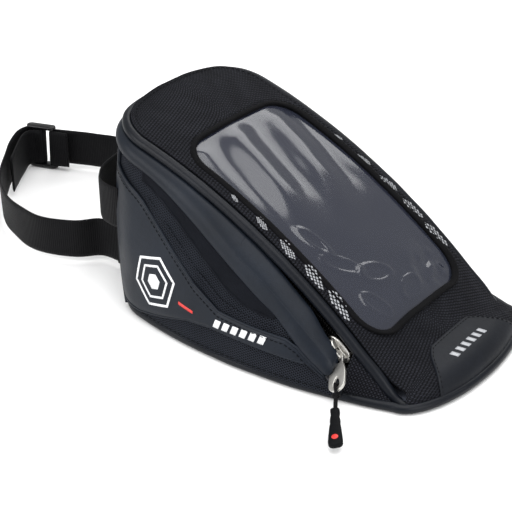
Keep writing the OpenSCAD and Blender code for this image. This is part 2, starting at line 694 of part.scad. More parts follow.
// Point at k between p1 and p2 of a smooth curve through four points.
function curve_point(p0, p1, p2, p3, k) =
    0.5 * (2 * p1 + (p2 - p0) * k + (2 * p0 - 5 * p1 + 4 * p2 - p3) * k * k
        + (3 * p1 - p0 - 3 * p2 + p3) * k * k * k);
function curve(ps, steps) = let (n = len(ps)) concat(
    [for (i = [0:n - 2]) for (s = [0:steps - 1])
        curve_point(ps[max(0, i - 1)], ps[i], ps[i + 1], ps[min(n - 1, i + 2)], s / steps)],
    [ps[n - 1]]);
function line_out(ps, i) =
    let (t = unit(ps[min(i + 1, len(ps) - 1)] - ps[max(i - 1, 0)])) [-t[1], t[0]];
function side_line(ps, d) = [for (i = [0:len(ps) - 1]) ps[i] + d * line_out(ps, i)];
function reversed(ps) = [for (i = [len(ps) - 1:-1:0]) ps[i]];
function mirrored(ps) = [for (p = ps) [p[0], -p[1]]];

// Webbing standing on its edge along a line in plan, with its middle at height z.
module webbing(ps, z) {
    translate([0, 0, z - web_w / 2]) linear_extrude(web_w)
        polygon(concat(side_line(ps, web_t / 2), reversed(side_line(ps, -web_t / 2))));
}

handle_half = [[-100, -61], [-111, -57], [-121, -44], [-126, -23]];
module carry_handle() {
    color(webbing_colour)
        webbing(curve(concat(handle_half, [[-127, 0]], reversed(mirrored(handle_half))), 4), handle_z);
}

// Each anchor is folded webbing sewn into the tall end, with the strap held in its fold.
anchor_root = [-104.8, -36];
anchor_dir = [-1, 0];
anchor_out = [-anchor_dir[1], anchor_dir[0]];
anchor_l = 14;
anchor_off = web_t + 0.3;
module strap_anchors() {
    half = anchor_off + web_t / 2;
    module one() translate([0, 0, strap_z + 2.4 - web_w / 2]) linear_extrude(web_w) difference() {
        polygon([for (q = [[0, -half], [anchor_l, -half], [anchor_l, half], [0, half]])
            anchor_root + q[0] * anchor_dir + q[1] * anchor_out]);
        polygon([for (q = [[2.4, web_t - half], [anchor_l + 1, web_t - half], [anchor_l + 1, half - web_t],
                           [2.4, half - web_t]])
            anchor_root + q[0] * anchor_dir + q[1] * anchor_out]);
    }
    color(webbing_colour) { one(); mirror([0, 1, 0]) one(); }
}

// Adjuster: where its middle bar stands, and the direction of the short strap from there.
bar_pos = [-254, 33];
bar_dir = unit([10, 3.6]);
bar_out = [-bar_dir[1], bar_dir[0]];
bar_pitch = 8;
bar_r = 1.4;
wrap_r = bar_r + 0.3 + web_t / 2;
strap_mid_z = strap_z + 2.4;
function at_bar(s, n) = bar_pos + s * bar_dir + n * bar_out;

strap_start = anchor_root + 12 * anchor_dir;
far_start = [strap_start[0], -strap_start[1]];
module long_strap() {
    outer = curve([strap_start, strap_start + [-6, 0], strap_start + [-12, 0], strap_start + [-18, -2.2],
                   [-145, -49], [-169, -57], [-201, -49], [-224, -33], [-243, -11],
                   [-257, 8], [-265, 23], at_bar(-8, wrap_r + 1.2), at_bar(0, wrap_r)], 5);
    wrap = [for (a = [75:-15:-75]) at_bar(wrap_r * cos(a), wrap_r * sin(a))];
    tail = curve([at_bar(0, -wrap_r), at_bar(-5, -wrap_r - 0.8), [-258.6, 22], [-250, 7.5], [-237, -11.5]], 4);
    color(webbing_colour) webbing(concat(outer, wrap, tail), strap_mid_z);
}
module short_strap() {
    end = at_bar(bar_pitch, 0);
    wrap = [for (a = [105:15:255]) end + wrap_r * (cos(a) * bar_dir + sin(a) * bar_out)];
    outer = curve([far_start, far_start + [-6, 0], far_start + [-12, 0], far_start + [-18, 1.6],
                   [-160, 49], [-200, 54.5], [-219, 50], at_bar(bar_pitch + 12, wrap_r + 0.8),
                   at_bar(bar_pitch, wrap_r)], 5);
    color(webbing_colour)
        webbing(concat(outer, wrap, [at_bar(bar_pitch, -wrap_r), at_bar(bar_pitch + 12, -wrap_r)]),
            strap_mid_z);
}
module triglide() {
    rail_t = 2.4;
    rail_w = 6.4;
    rail_l = 2 * bar_pitch + 5;
    rail_z = web_w / 2 + 0.4;
    color(webbing_colour) translate([bar_pos[0], bar_pos[1], strap_mid_z])
        rotate([0, 0, atan2(bar_dir[1], bar_dir[0])]) union() {
            for (s = [-1, 0, 1]) translate([s * bar_pitch, 0, -rail_z - rail_t / 2])
                cylinder(r = bar_r, h = 2 * rail_z + rail_t, $fn = 32);
            for (side = [-1, 1]) translate([0, 0, side * (rail_z + rail_t / 2) - rail_t / 2])
                linear_extrude(rail_t) union() {
                    square([rail_l - rail_w, rail_w], center = true);
                    for (s = [-1, 1]) translate([s * (rail_l - rail_w) / 2, 0]) circle(rail_w / 2, $fn = 48);
                }
        }
}

base_panel();
base_board();
base_piping();
base_piping_cord();
left_side_panel();
right_side_panel();
left_side_foam();
right_side_foam();
left_wing_panel();
right_wing_panel();
left_shoulder_panel();
right_shoulder_panel();
tall_end_panel();
tall_end_foam();
storm_band();
wall_lining();
floor_lining();
nose_panel();
nose_padding();
nose_patch();
nose_piping();
lower_zip_tape();
lower_zip_coil();
zip_end_stops();
lid_panel();
lid_piping();
lid_piping_cord();
window_vinyl();
window_binding();
map_pocket_floor();
pocket_hook_tape();
pocket_loop_tape();
upper_zip_tape();
upper_zip_coil();
slider_body();
slider_crown();
pull_tab();
pull_cord();
pull_grip();
grip_inlay();
carry_handle();
strap_anchors();
long_strap();
short_strap();
triglide();
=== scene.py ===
import math

import bmesh
import bpy
import numpy as np
from mathutils import Matrix, Vector


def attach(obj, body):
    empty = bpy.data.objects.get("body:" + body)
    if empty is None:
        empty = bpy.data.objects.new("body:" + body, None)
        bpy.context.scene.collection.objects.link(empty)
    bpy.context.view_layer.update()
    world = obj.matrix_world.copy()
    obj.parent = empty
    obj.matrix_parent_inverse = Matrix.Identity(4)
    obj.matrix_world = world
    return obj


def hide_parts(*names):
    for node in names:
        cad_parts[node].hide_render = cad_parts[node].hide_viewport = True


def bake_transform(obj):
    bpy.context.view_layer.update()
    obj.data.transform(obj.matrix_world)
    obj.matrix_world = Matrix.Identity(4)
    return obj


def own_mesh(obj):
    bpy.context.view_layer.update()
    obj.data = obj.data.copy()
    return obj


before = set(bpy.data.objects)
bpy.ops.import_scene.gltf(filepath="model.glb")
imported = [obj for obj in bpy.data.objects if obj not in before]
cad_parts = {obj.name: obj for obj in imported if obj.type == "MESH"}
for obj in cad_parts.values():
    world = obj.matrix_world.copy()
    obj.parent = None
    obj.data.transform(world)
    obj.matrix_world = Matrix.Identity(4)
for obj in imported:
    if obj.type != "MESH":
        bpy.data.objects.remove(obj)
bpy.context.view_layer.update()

MM = 0.001

# ---------------------------------------------------------------- the bag's shape, in millimetres

# base in plan: nose tip, width, widest point, side radius, length of the round nose; corners; tall end
NOSE_X, BASE_W, WIDE_X, SIDE_R, NOSE_L = 114.0, 159.0, -11.0, 300.0, 24.0
CORNER_R, CORNER_X, TALL_END_R = 30.0, -72.0, 150.0
# lid in plan, the arch its edge follows seen from the side, the fold and the lid's crown
LID_HALF_W, LID_CORNER_X, LID_CORNER_R, LID_END_R = 57.0, -79.0, 29.0, 190.0
ARCH_R, ARCH_X, ARCH_Z = 375.0, -179.0, -259.2
FOLD_X, CROWN = 78.0, 4.0
# piping, window and zip
PIPE_R, BASE_PIPE_R = 3.0, 2.5
WINDOW_X0, WINDOW_X1, WINDOW_HALF, WINDOW_R = -60.0, 69.0, 44.0, 16.0
ZIP_DEPTH, ZIP_INSET, COIL_R, ZIP_END_X = 10.8, 4.0, 1.1, 64.0
# slider, tab, cord and grip: lengths, and angles in degrees
SLIDER_ANGLE, TAB_ANGLE, TAB_L, CORD_L = 39.6, 52.0, 18.0, 13.0
GRIP_DROOP, GRIP_LEAN, GRIP_L = 7.0, 18.0, 28.0
TAB_TWIST, GRIP_TWIST = -18.0, -45.0
# walls: front end, foot, bulge; stations along a side, a corner and half the tall end; points per station
FRONT_X, WALL_FOOT, WALL_BULGE = 79.0, 5.6, 3.0
SIDE_N, CORNER_N, END_N, DENSE = 16, 6, 4, 6
# front ends of the sewn pieces, and the shoulder's rear end as a station
PANEL_FRONT_X, WING_FRONT_X, BAND_FRONT_X, LINING_FRONT_X = 64.0, 54.5, 57.5, 60.0
SHOULDER_FRONT_X, SHOULDER_REAR = 23.0, 15.6 * DENSE
PATCH_REAR_X, PATCH_FRONT_X = 85.5, 111.4
# wing's distance off the wall, the band's rounded ends in stations, depth and rear end of its lip
WING_OFF, BAND_CAP, FLAP_DEPTH, FLAP_REAR = 0.55, 3.2, 13.7, -4.0
# webbing, and the middle of the wing's printed motif
WEB_W, WEB_T = 25.0, 1.6
MOTIF_X, MOTIF_Z = -54.5, 31.0
# thicknesses of the lid's cover, vinyl and pocket backing; depths of the last two under the lid's surface
COVER_T, FILM_T, BACKING_T, FILM_DEPTH, BACKING_DEPTH = 1.3, 0.35, 0.8, 1.7, 4.6
# walls: inner faces of the side panel and of the pieces sewn over it, lining's face and thickness
PANEL_IN, OVERLAY_IN, LINING_IN, LINING_T = -1.3, -0.4, -5.7, 0.9
# quilting of the bottom: pitch and depth; tab's thickness; winding pitch of the zip's coils
QUILT_PITCH, QUILT_DEPTH, TAB_T, COIL_PITCH = 26.0, 0.25, 1.5, 1.5
# thread stitches: length, gap and radius
LONG_STITCH, WING_STITCH, WEB_STITCH = (2.4, 1.0, 0.22), (2.0, 0.8, 0.22), (2.2, 0.9, 0.24)
LID_STITCH, WINDOW_STITCH, PATCH_STITCH = (2.2, 1.0, 0.22), (1.8, 0.9, 0.18), (2.0, 0.9, 0.2)


def sagitta(r, d):
    return r - np.sqrt(np.maximum(r * r - np.square(d), 0))


def mix(a, b, k):
    return a + (b - a) * k


def smooth(k):
    c = np.clip(k, 0, 1)
    return c * c * (3 - 2 * c)


def dome(k, low=0.0):
    """Quarter-circle rise from 0 to 1 as k goes from 0 to 1."""
    return np.sqrt(np.clip(1 - (1 - np.clip(k, 0, 1)) ** 2, low, 1))


def round_max(a, b, width):
    """The larger of two values, rounded where they cross."""
    return (a + b + np.sqrt((a - b) ** 2 + width)) / 2


def xyz(x, y, z):
    return np.stack(np.broadcast_arrays(x, y, z), -1)


def upright(n):
    return np.tile([0.0, 0, 1], (n, 1))


def run_length(p):
    """Distance along a line of points, from its start."""
    return np.concatenate([[0], np.cumsum(np.linalg.norm(np.diff(p, axis=0), axis=1))])


def sampled(s, seg, p):
    """Values p, given at the distances seg, at other distances s."""
    return np.stack([np.interp(s, seg, p[:, k]) for k in range(p.shape[1])], 1)


def turn(angle, axis):
    return Matrix.Rotation(math.radians(angle), 4, axis)


def unit(v):
    n = np.linalg.norm(v, axis=-1, keepdims=True)
    return v / np.maximum(n, 1e-9)


def base_half(x):
    return BASE_W / 2 - sagitta(SIDE_R, x - WIDE_X)


NOSE_START = NOSE_X - NOSE_L


def base_edge(x):
    x = np.asarray(x, float)
    front = base_half(NOSE_START) * np.sqrt(np.maximum(0, 1 - ((x - NOSE_START) / NOSE_L) ** 2))
    return np.where(x > NOSE_START, front, base_half(x))


def arch(x):
    return ARCH_Z + np.sqrt(ARCH_R ** 2 - (x - ARCH_X) ** 2)


def edge_z(x):
    """Height of the lid's edge: the arch, flattened out at the nose."""
    x = np.asarray(x, float)
    return round_max(arch(np.minimum(x, NOSE_X)), 6 + (NOSE_X - 2 - x) * 0.12, 16)


def lid_z(x, y):
    crown = CROWN * (1 + 0.5 * smooth((np.asarray(x, float) - 20) / 60))
    return edge_z(x) + crown * (1 - np.minimum(1, np.abs(y) / LID_HALF_W) ** 2)


TILT = math.asin((CORNER_X - WIDE_X) / SIDE_R)
BASE_CORNER = np.array([CORNER_X, float(base_half(CORNER_X))])
BASE_CORNER -= CORNER_R * np.array([math.sin(TILT), math.cos(TILT)])
BASE_END_X = BASE_CORNER[0] + math.sqrt((TALL_END_R - CORNER_R) ** 2 - BASE_CORNER[1] ** 2)
BASE_END_A = math.atan2(BASE_CORNER[1], BASE_CORNER[0] - BASE_END_X)
LID_CORNER = np.array([LID_CORNER_X, LID_HALF_W - LID_CORNER_R])
LID_END_X = LID_CORNER[0] + math.sqrt((LID_END_R - LID_CORNER_R) ** 2 - LID_CORNER[1] ** 2)
LID_END_A = math.atan2(LID_CORNER[1], LID_CORNER[0] - LID_END_X)


def arc(centre, r, a0, a1, n):
    a = mix(a0, a1, np.arange(1, n + 1) / n)
    return np.stack([centre[0] + r * np.cos(a), centre[1] + r * np.sin(a)], 1)


def half_outline(x0, lid, d=DENSE):
    """Stations from the nose back along the right side, round the corner, to the tall end's middle."""
    x = mix(x0, LID_CORNER_X if lid else CORNER_X, np.arange(SIDE_N * d + 1) / (SIDE_N * d))
    if lid:
        y = np.minimum(LID_HALF_W, base_edge(x) - 0.5)
        corner = arc(LID_CORNER, LID_CORNER_R, math.pi / 2, LID_END_A, CORNER_N * d)
        end = arc((LID_END_X, 0), LID_END_R, LID_END_A, math.pi, END_N * d)
    else:
        y = base_edge(x)
        corner = arc(BASE_CORNER, CORNER_R, math.pi / 2 - TILT, BASE_END_A, CORNER_N * d)
        end = arc((BASE_END_X, 0), TALL_END_R, BASE_END_A, math.pi, END_N * d)
    return np.concatenate([np.stack([x, y], 1), corner, end])


def whole(half):
    left = half * [1, -1]
    return np.concatenate([left, half[-2::-1]])


BASE_LINE = whole(half_outline(FRONT_X, False))
LID_LINE = whole(half_outline(FRONT_X, True))
COUNT = len(BASE_LINE)


def edge_frame(line, lift=None):
    """Points of the lid's edge along a line, with their outward and upward directions."""
    p = np.column_stack([line, edge_z(line[:, 0]) if lift is None else lift])
    t = unit(np.gradient(p, axis=0))
    out = unit(np.stack([-t[:, 1], t[:, 0], 0 * t[:, 0]], 1))
    up = np.cross(t, out)
    up *= np.where(up[:, 2:] < 0, -1, 1)
    return p, out, unit(up)


LID_OUT = edge_frame(LID_LINE)[1][:, :2]


def at(values, i):
    """Value of a station list at fractional stations."""
    i = np.clip(np.asarray(i, float), 0, len(values) - 1)
    k = np.minimum(i.astype(int), len(values) - 2)
    f = i - k
    if values.ndim > 1:
        f = f[..., None]
    return values[k] * (1 - f) + values[k + 1] * f


def wall(i, z, o):
    """Point of the wall at fractional dense station i and height z, o outside its surface."""
    i, z, o = np.broadcast_arrays(np.asarray(i, float), np.asarray(z, float), np.asarray(o, float))
    top = edge_z(at(LID_LINE, i)[..., 0]) - 4
    s = (z - WALL_FOOT) / np.maximum(1, top - WALL_FOOT)
    p = mix(at(BASE_LINE, i), at(LID_LINE, i), s[..., None])
    b = o + 4 * WALL_BULGE * s * (1 - s) * np.minimum(1, (top - WALL_FOOT) / 40)
    n = at(LID_OUT, i)
    return np.concatenate([p + n * b[..., None], z[..., None]], -1)


def station_x(i):
    return at(BASE_LINE, i)[..., 0]


def station_at(x):
    """Dense station, on the left side, whose base point has this x."""
    return (FRONT_X - x) / (FRONT_X - CORNER_X) * SIDE_N * DENSE


def edge_height(i):
    return edge_z(at(LID_LINE, i)[..., 0])


def lip_depth(x):
    return 5.3 + 1.6 * smooth((x + 45) / 60) + 1.8 * smooth((x - 5) / 30) + 2.8 * smooth((x - 36) / 14)


def band_depth(x):
    reach = np.where(x < 9, 85, 58)
    sweep = np.minimum(math.pi, math.pi * np.abs(x - 9) / reach)
    return np.maximum(lip_depth(x) + 1.5, 14 + 5 * (1 + np.cos(sweep)) + 7.0 * smooth((x - 18) / 30))


def band_low(i):
    return edge_height(i) - band_depth(station_x(i))


def band_lip(i):
    return edge_height(i) - lip_depth(station_x(i))


def slider_room(i):
    """How much lower the wall is cut at the front, to clear the slider."""
    return 5 * smooth((station_x(i) - 44) / 10)


def wing_high(i):
    line = np.interp(station_x(i), [-90, -66, -43, -27, -10, 10, 31, 56], [87, 71, 51, 38, 29, 27, 26, 16.5])
    return np.minimum(band_low(i) - 0.5, line)


def wing_low(i):
    line = np.interp(station_x(i), [-90, -68, -49, -30, -14, 45, 56], [7, 7.5, 12, 17.5, 19, 16.5, 13.5])
    return np.minimum(wing_high(i) - 1.5, line)


def seam_low(i):
    return np.interp(station_x(i), [-66, -53, -39, -18, -7, 4, 16], [82, 75.5, 65.5, 50, 42, 37, 34.5])


LEFT_SEAM = (SIDE_N + 3) * DENSE

# ---------------------------------------------------------------- smooth random ripples


def ripple(x, y, size, seed):
    """Smooth value noise in about -1..1, the same every run."""
    rng = np.random.RandomState(seed)
    table = rng.uniform(-1, 1, (64, 64))
    u, v = np.asarray(x, float) / size, np.asarray(y, float) / size
    iu, iv = np.floor(u).astype(int), np.floor(v).astype(int)
    fu, fv = smooth(u - iu), smooth(v - iv)
    g = lambda a, b: table[a % 64, b % 64]
    return mix(mix(g(iu, iv), g(iu + 1, iv), fu), mix(g(iu, iv + 1), g(iu + 1, iv + 1), fu), fv)


# ---------------------------------------------------------------- mesh building


def linked(name, data):
    obj = bpy.data.objects.new(name, data)
    bpy.context.scene.collection.objects.link(obj)
    return obj


def finished(name, mesh, material, body, stands_for=(), slot=None):
    """Smooth object from a mesh; it rides its body and may stand for nodes of the CAD."""
    mesh.polygons.foreach_set("use_smooth", [True] * len(mesh.polygons))
    mesh.materials.append(material)
    obj = linked(name, mesh)
    if body:
        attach(obj, body)
    if stands_for:
        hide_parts(*stands_for)
    return obj


def add_mesh(name, points, faces, material, body, uv=None, **kw):
    mesh = bpy.data.meshes.new(name)
    mesh.from_pydata((np.asarray(points, float) * MM).tolist(), [], [tuple(int(k) for k in f) for f in faces])
    mesh.update()
    b = bmesh.new()
    b.from_mesh(mesh)
    bmesh.ops.recalc_face_normals(b, faces=b.faces)
    if b.calc_volume(signed=True) < 0:
        bmesh.ops.reverse_faces(b, faces=b.faces)
    b.to_mesh(mesh)
    b.free()
    if uv is not None:
        layer = mesh.uv_layers.new(name="UVMap")
        idx = np.zeros(len(mesh.loops), int)
        mesh.loops.foreach_get("vertex_index", idx)
        layer.data.foreach_set("uv", np.asarray(uv, float)[idx].ravel())
    return finished(name, mesh, material, body, **kw)


def arc_uv(grid):
    """Distances along a grid of points, in millimetres, as texture coordinates."""
    du = np.linalg.norm(np.diff(grid, axis=1), axis=2)
    dv = np.linalg.norm(np.diff(grid, axis=0), axis=2)
    u = np.concatenate([np.zeros((grid.shape[0], 1)), np.cumsum(du, 1)], 1)
    v = np.concatenate([np.zeros((1, grid.shape[1])), np.cumsum(dv, 0)], 0)
    u = np.broadcast_to(u.mean(0), u.shape)
    return np.stack([u, v], -1)


def cells(k):
    """The four corner numbers of each cell in a table of point numbers."""
    return np.stack([k[:-1, :-1], k[:-1, 1:], k[1:, 1:], k[1:, :-1]], -1)


def shell(name, outer, inner, material, body, keep=None, **kw):
    """Closed sheet between two equal grids of points; keep says which cells exist."""
    r, c = outer.shape[:2]
    n = r * c
    keep = np.ones((r - 1, c - 1), bool) if keep is None else keep
    k = np.arange(n).reshape(r, c)
    top = cells(k)[keep]
    faces = [top, top[:, ::-1] + n]
    # side walls, wherever a cell that exists borders on one that does not
    pad = np.pad(keep, 1)
    for t, q in ((k, pad), (k.T, pad.T)):
        edge = q[:-1, 1:-1] != q[1:, 1:-1]
        a, b = t[:, :-1][edge], t[:, 1:][edge]
        faces.append(np.stack([a, b, b + n, a + n], 1))
    used, faces = np.unique(np.concatenate(faces), return_inverse=True)
    points = np.concatenate([outer.reshape(-1, 3), inner.reshape(-1, 3)])
    uv = np.tile(arc_uv(outer).reshape(-1, 2), (2, 1))
    return add_mesh(name, points[used], faces.reshape(-1, 4), material, body, uv=uv[used], **kw)


def ring_faces(k, closed=False):
    """Faces through a table of point numbers, one ring in each row; the ends are capped unless closed."""
    nxt = np.roll(k, -1, axis=1)
    faces = []
    for i in range(len(k) if closed else len(k) - 1):
        j = (i + 1) % len(k)
        faces += list(zip(k[i], nxt[i], nxt[j], k[j]))
    return faces if closed else faces + [tuple(k[0][::-1]), tuple(k[-1])]


def tube(name, rings, material, body, closed=False, **kw):
    """Solid swept through rings of points, shaped (stations, points, 3)."""
    r, c = rings.shape[:2]
    faces = ring_faces(np.arange(r * c).reshape(r, c), closed)
    along, around = run_length(rings.mean(1)), run_length(rings[r // 2])
    uv = np.stack(np.broadcast_arrays(along[:, None], around[None, :]), -1).reshape(-1, 2)
    return add_mesh(name, rings.reshape(-1, 3), faces, material, body, uv=uv, **kw)


def circle(r, n=16):
    a = np.arange(n) * 2 * math.pi / n
    return np.stack([r * np.cos(a), r * np.sin(a)], 1)


def placed(points, dirs_a, dirs_b, section):
    """Rings of a section at points: its first coordinate along dirs_a, its second along dirs_b."""
    s = np.asarray(section, float)
    if s.ndim == 2:
        s = np.broadcast_to(s, (len(points),) + s.shape)
    return points[:, None] + s[..., :1] * dirs_a[:, None] + s[..., 1:] * dirs_b[:, None]


def sweep_round(name, points, r, material, body, n=12, closed=False, taper=0, **kw):
    """Round cord along points; taper rounds both ends over that many stations."""
    p = np.asarray(points, float)
    t = unit(np.gradient(p, axis=0)) if not closed else unit(np.roll(p, -1, 0) - np.roll(p, 1, 0))
    ref = np.tile([0.0, 0, 1], (len(p), 1))
    ref[np.abs(t[:, 2]) > 0.9] = [1, 0, 0]
    a = unit(np.cross(t, ref))
    b = np.cross(t, a)
    radius = np.full(len(p), float(r)) if np.isscalar(r) else np.asarray(r, float)
    if taper:
        k = np.minimum(np.arange(len(p)), np.arange(len(p))[::-1]) / taper
        radius = radius * dome(k, 0.01)
    s = circle(1, n)[None] * radius[:, None, None]
    return tube(name, placed(p, a, b, s), material, body, closed=closed, **kw)


def stitches(name, path, normals, body, length, gap, r):
    """Row of separate thread stitches lying on a path."""
    p = np.asarray(path, float)
    seg = run_length(p)
    pts, faces = [], []
    for k in range(int(seg[-1] // (length + gap))):
        d = gap / 2 + k * (length + gap) + np.array([0, 0.18, 0.5, 0.82, 1]) * length
        c, up = sampled(d, seg, p), unit(sampled(d, seg, normals))
        side = np.cross(unit(np.gradient(c, axis=0)), up)
        rise = np.array([-0.3, 0.05, 0.22, 0.05, -0.3])[:, None]
        rad = np.array([0.5, 0.95, 1, 0.95, 0.5])[:, None, None] * r
        ring = placed(c + up * rise, side, up, circle(1, 6)[None] * rad)
        faces += ring_faces(np.arange(30).reshape(5, 6) + 30 * k)
        pts.append(ring.reshape(-1, 3))
    return add_mesh(name, np.concatenate(pts), faces, M_THREAD, body)


# ---------------------------------------------------------------- materials


class Nodes:
    """Short way to build a shader: each call adds a node and links its inputs."""

    def __init__(self, name):
        self.material = bpy.data.materials.new(name)
        self.material.use_nodes = True
        self.tree = self.material.node_tree
        self.shader = self.tree.nodes["Principled BSDF"]
        self.uv = self.tree.nodes.new("ShaderNodeTexCoord").outputs["UV"]
        self.place = self.tree.nodes.new("ShaderNodeTexCoord").outputs["Object"]

    def put(self, socket, value):
        """Link or set a socket; a value of None leaves it alone."""
        if isinstance(value, bpy.types.NodeSocket):
            self.tree.links.new(value, socket)
        elif value is not None:
            is_colour = isinstance(value, tuple) and socket.type == "RGBA"
            socket.default_value = (*value, 1) if is_colour else value

    def node(self, kind, *values, **named):
        n = self.tree.nodes.new("ShaderNode" + kind)
        for key, value in [*enumerate(values), *named.items()]:
            self.put(n.inputs[key], value)
        return n

    def math(self, op, *values):
        n = self.node("Math", *values)
        n.operation = op
        return n.outputs[0]

    def add(self, a, b):
        return self.math("ADD", a, b)

    def mul(self, a, b):
        return self.math("MULTIPLY", a, b)

    def wave(self, a):
        return self.math("SINE", a)

    def split(self, vector):
        n = self.node("SeparateXYZ", vector)
        return n.outputs[0], n.outputs[1]

    def turned(self, vector, angle, scale=(1, 1, 1)):
        spin = (0, 0, math.radians(angle))
        return self.node("Mapping", Vector=vector, Rotation=spin, Scale=scale).outputs[0]

    def noise(self, vector, scale, detail=3):
        return self.node("TexNoise", Vector=vector, Scale=scale, Detail=detail, Roughness=0.55).outputs["Fac"]

    def cells(self, vector, scale):
        return self.node("TexVoronoi", Vector=vector, Scale=scale).outputs["Distance"]

    def ramp(self, fac, *stops):
        n = self.node("ValToRGB", fac)
        e = n.color_ramp.elements
        while len(e) < len(stops):
            e.new(0.5)
        for k, (pos, colour) in enumerate(stops):
            e[k].position = pos
            e[k].color = (*colour, 1)
        return n.outputs[0]

    def grey(self, fac, lo, hi, a=0.0, b=1.0):
        """Value that runs from lo to hi while fac runs from a to b."""
        return self.node("MapRange", fac, a, b, lo, hi).outputs[0]

    def bump(self, height, strength, distance, under=None):
        n = self.node("Bump", Strength=strength, Distance=distance, Height=height, Normal=under)
        return n.outputs[0]

    def finish(self, colour, rough, normal, metal=None, **more):
        more.update(Base_Color=colour, Roughness=rough, Normal=normal, Metallic=metal)
        for key, value in more.items():
            self.put(self.shader.inputs[key.replace("_", " ")], value)
        return self.material


def shade(*rgb):
    """Colour of 0 to 255 steps, as the linear values that a shader takes."""
    return tuple(((v / 255 + 0.055) / 1.055) ** 2.4 if v > 10 else v / 255 / 12.92 for v in rgb)


def tint(colour, k):
    return tuple(k * c for c in colour)


def woven(name, dark, light, pitch, angle=0.0, rough=0.75, depth=0.25, sheen=0.01):
    """Basket weave of two sets of threads, with slow colour variation."""
    m = Nodes(name)
    u, v = m.split(m.turned(m.uv, angle))
    k = 2 * math.pi / pitch
    wobble = m.mul(m.noise(m.uv, 0.35, 2), 1.6)
    su = m.wave(m.add(m.mul(u, k), wobble))
    sv = m.wave(m.add(m.mul(v, k), wobble))
    cross = m.mul(su, sv)
    threads = m.math("ABSOLUTE", cross)
    over = m.math("GREATER_THAN", cross, 0.0)
    weave = m.add(m.mul(threads, 0.75), m.mul(over, 0.25))
    cloud = m.noise(m.uv, 0.06, 4)
    fac = m.mul(weave, m.grey(cloud, 0.55, 1.35))
    colour = m.ramp(fac, (0.12, dark), (0.6, light), (1.0, tint(light, 2.2)))
    fuzz = m.noise(m.uv, 3.0, 3)
    height = m.add(weave, m.mul(fuzz, 0.35))
    slow = m.bump(m.noise(m.uv, 0.12, 3), 0.35, 0.0012)
    return m.finish(colour, m.grey(fac, rough + 0.1, rough - 0.1), m.bump(height, 0.8, depth * MM, slow),
                    Sheen_Weight=sheen, Sheen_Roughness=0.5, Specular_IOR_Level=0.06)


def leatherette(name, base, rough=0.42):
    """Smooth coated cloth: fine pebble grain, faint mottling and worn highlights."""
    m = Nodes(name)
    mott = m.noise(m.place, 28, 4)
    fine = m.noise(m.place, 500, 3)
    pores = m.cells(m.place, 1150)
    fac = m.add(m.mul(mott, 0.7), m.mul(fine, 0.3))
    colour = m.ramp(fac, (0.3, tint(base, 0.72)), (0.52, base), (0.72, tint(base, 1.35)))
    height = m.add(m.mul(pores, 0.8), m.mul(fine, 0.4))
    slow = m.bump(m.noise(m.place, 90, 2), 0.25, 0.0006)
    return m.finish(colour, m.grey(fac, rough + 0.08, rough - 0.06), m.bump(height, 0.35, 0.00012, slow),
                    Specular_IOR_Level=0.17)


def spacer_mesh(name, dark, light, pitch=1.5):
    """Knitted mesh: rows of small open cells."""
    m = Nodes(name)
    u, v = m.split(m.uv)
    k = 2 * math.pi / pitch
    a = m.wave(m.mul(u, k))
    b = m.wave(m.mul(m.add(m.mul(u, 0.5), m.mul(v, 0.87)), k))
    c = m.wave(m.mul(m.add(m.mul(u, 0.5), m.mul(v, -0.87)), k))
    hexes = m.add(m.add(a, b), c)
    holes = m.grey(hexes, 0.0, 1.0, -1.6, 1.2)
    cloud = m.noise(m.uv, 0.08, 4)
    fac = m.mul(holes, m.grey(cloud, 0.6, 1.3))
    colour = m.ramp(fac, (0.05, dark), (0.8, light))
    height = m.add(holes, m.mul(m.noise(m.uv, 2.5, 3), 0.4))
    slow = m.bump(m.noise(m.uv, 0.15, 3), 0.4, 0.0012)
    return m.finish(colour, 0.8, m.bump(height, 0.9, 0.0004, slow),
                    Sheen_Weight=0.01, Specular_IOR_Level=0.06)


def ribbed(name, dark, light, pitch=1.3, rough=0.6):
    """Webbing: ribs across its width, with a fine weave along each rib."""
    m = Nodes(name)
    u, v = m.split(m.uv)
    rib = m.math("ABSOLUTE", m.wave(m.mul(u, math.pi / pitch)))
    fine = m.math("ABSOLUTE", m.wave(m.add(m.mul(v, math.pi / 0.9), m.mul(u, math.pi / pitch))))
    fac = m.add(m.mul(rib, 0.7), m.mul(fine, 0.3))
    fac = m.mul(fac, m.grey(m.noise(m.uv, 0.1, 3), 0.7, 1.25))
    colour = m.ramp(fac, (0.1, dark), (0.95, light))
    return m.finish(colour, m.grey(fac, rough + 0.1, rough - 0.1), m.bump(fac, 0.9, 0.00035),
                    Sheen_Weight=0.01, Specular_IOR_Level=0.08)


def plastic(name, base, rough, shine=0.3):
    m = Nodes(name)
    n = m.noise(m.place, 60, 3)
    colour = m.ramp(n, (0.3, tint(base, 0.85)), (0.7, tint(base, 1.2)))
    grain = m.bump(m.noise(m.place, 900, 2), 0.1, 0.0001)
    return m.finish(colour, m.grey(n, rough - 0.04, rough + 0.08), grain, Specular_IOR_Level=shine)


def metal(name, base, rough):
    m = Nodes(name)
    n = m.noise(m.place, 260, 4)
    brushed = m.noise(m.turned(m.place, 20, (1, 8, 1)), 700, 2)
    colour = m.ramp(n, (0.3, tint(base, 0.75)), (0.65, base))
    return m.finish(colour, m.grey(n, rough + 0.12, rough - 0.06), m.bump(brushed, 0.12, 0.0001), 1.0)


def printed(name, base, rough=0.45):
    """Slightly uneven screen print."""
    m = Nodes(name)
    n = m.noise(m.place, 800, 3)
    colour = m.ramp(n, (0.25, tint(base, 0.7)), (0.55, base))
    return m.finish(colour, rough, m.bump(n, 0.2, 0.0001))


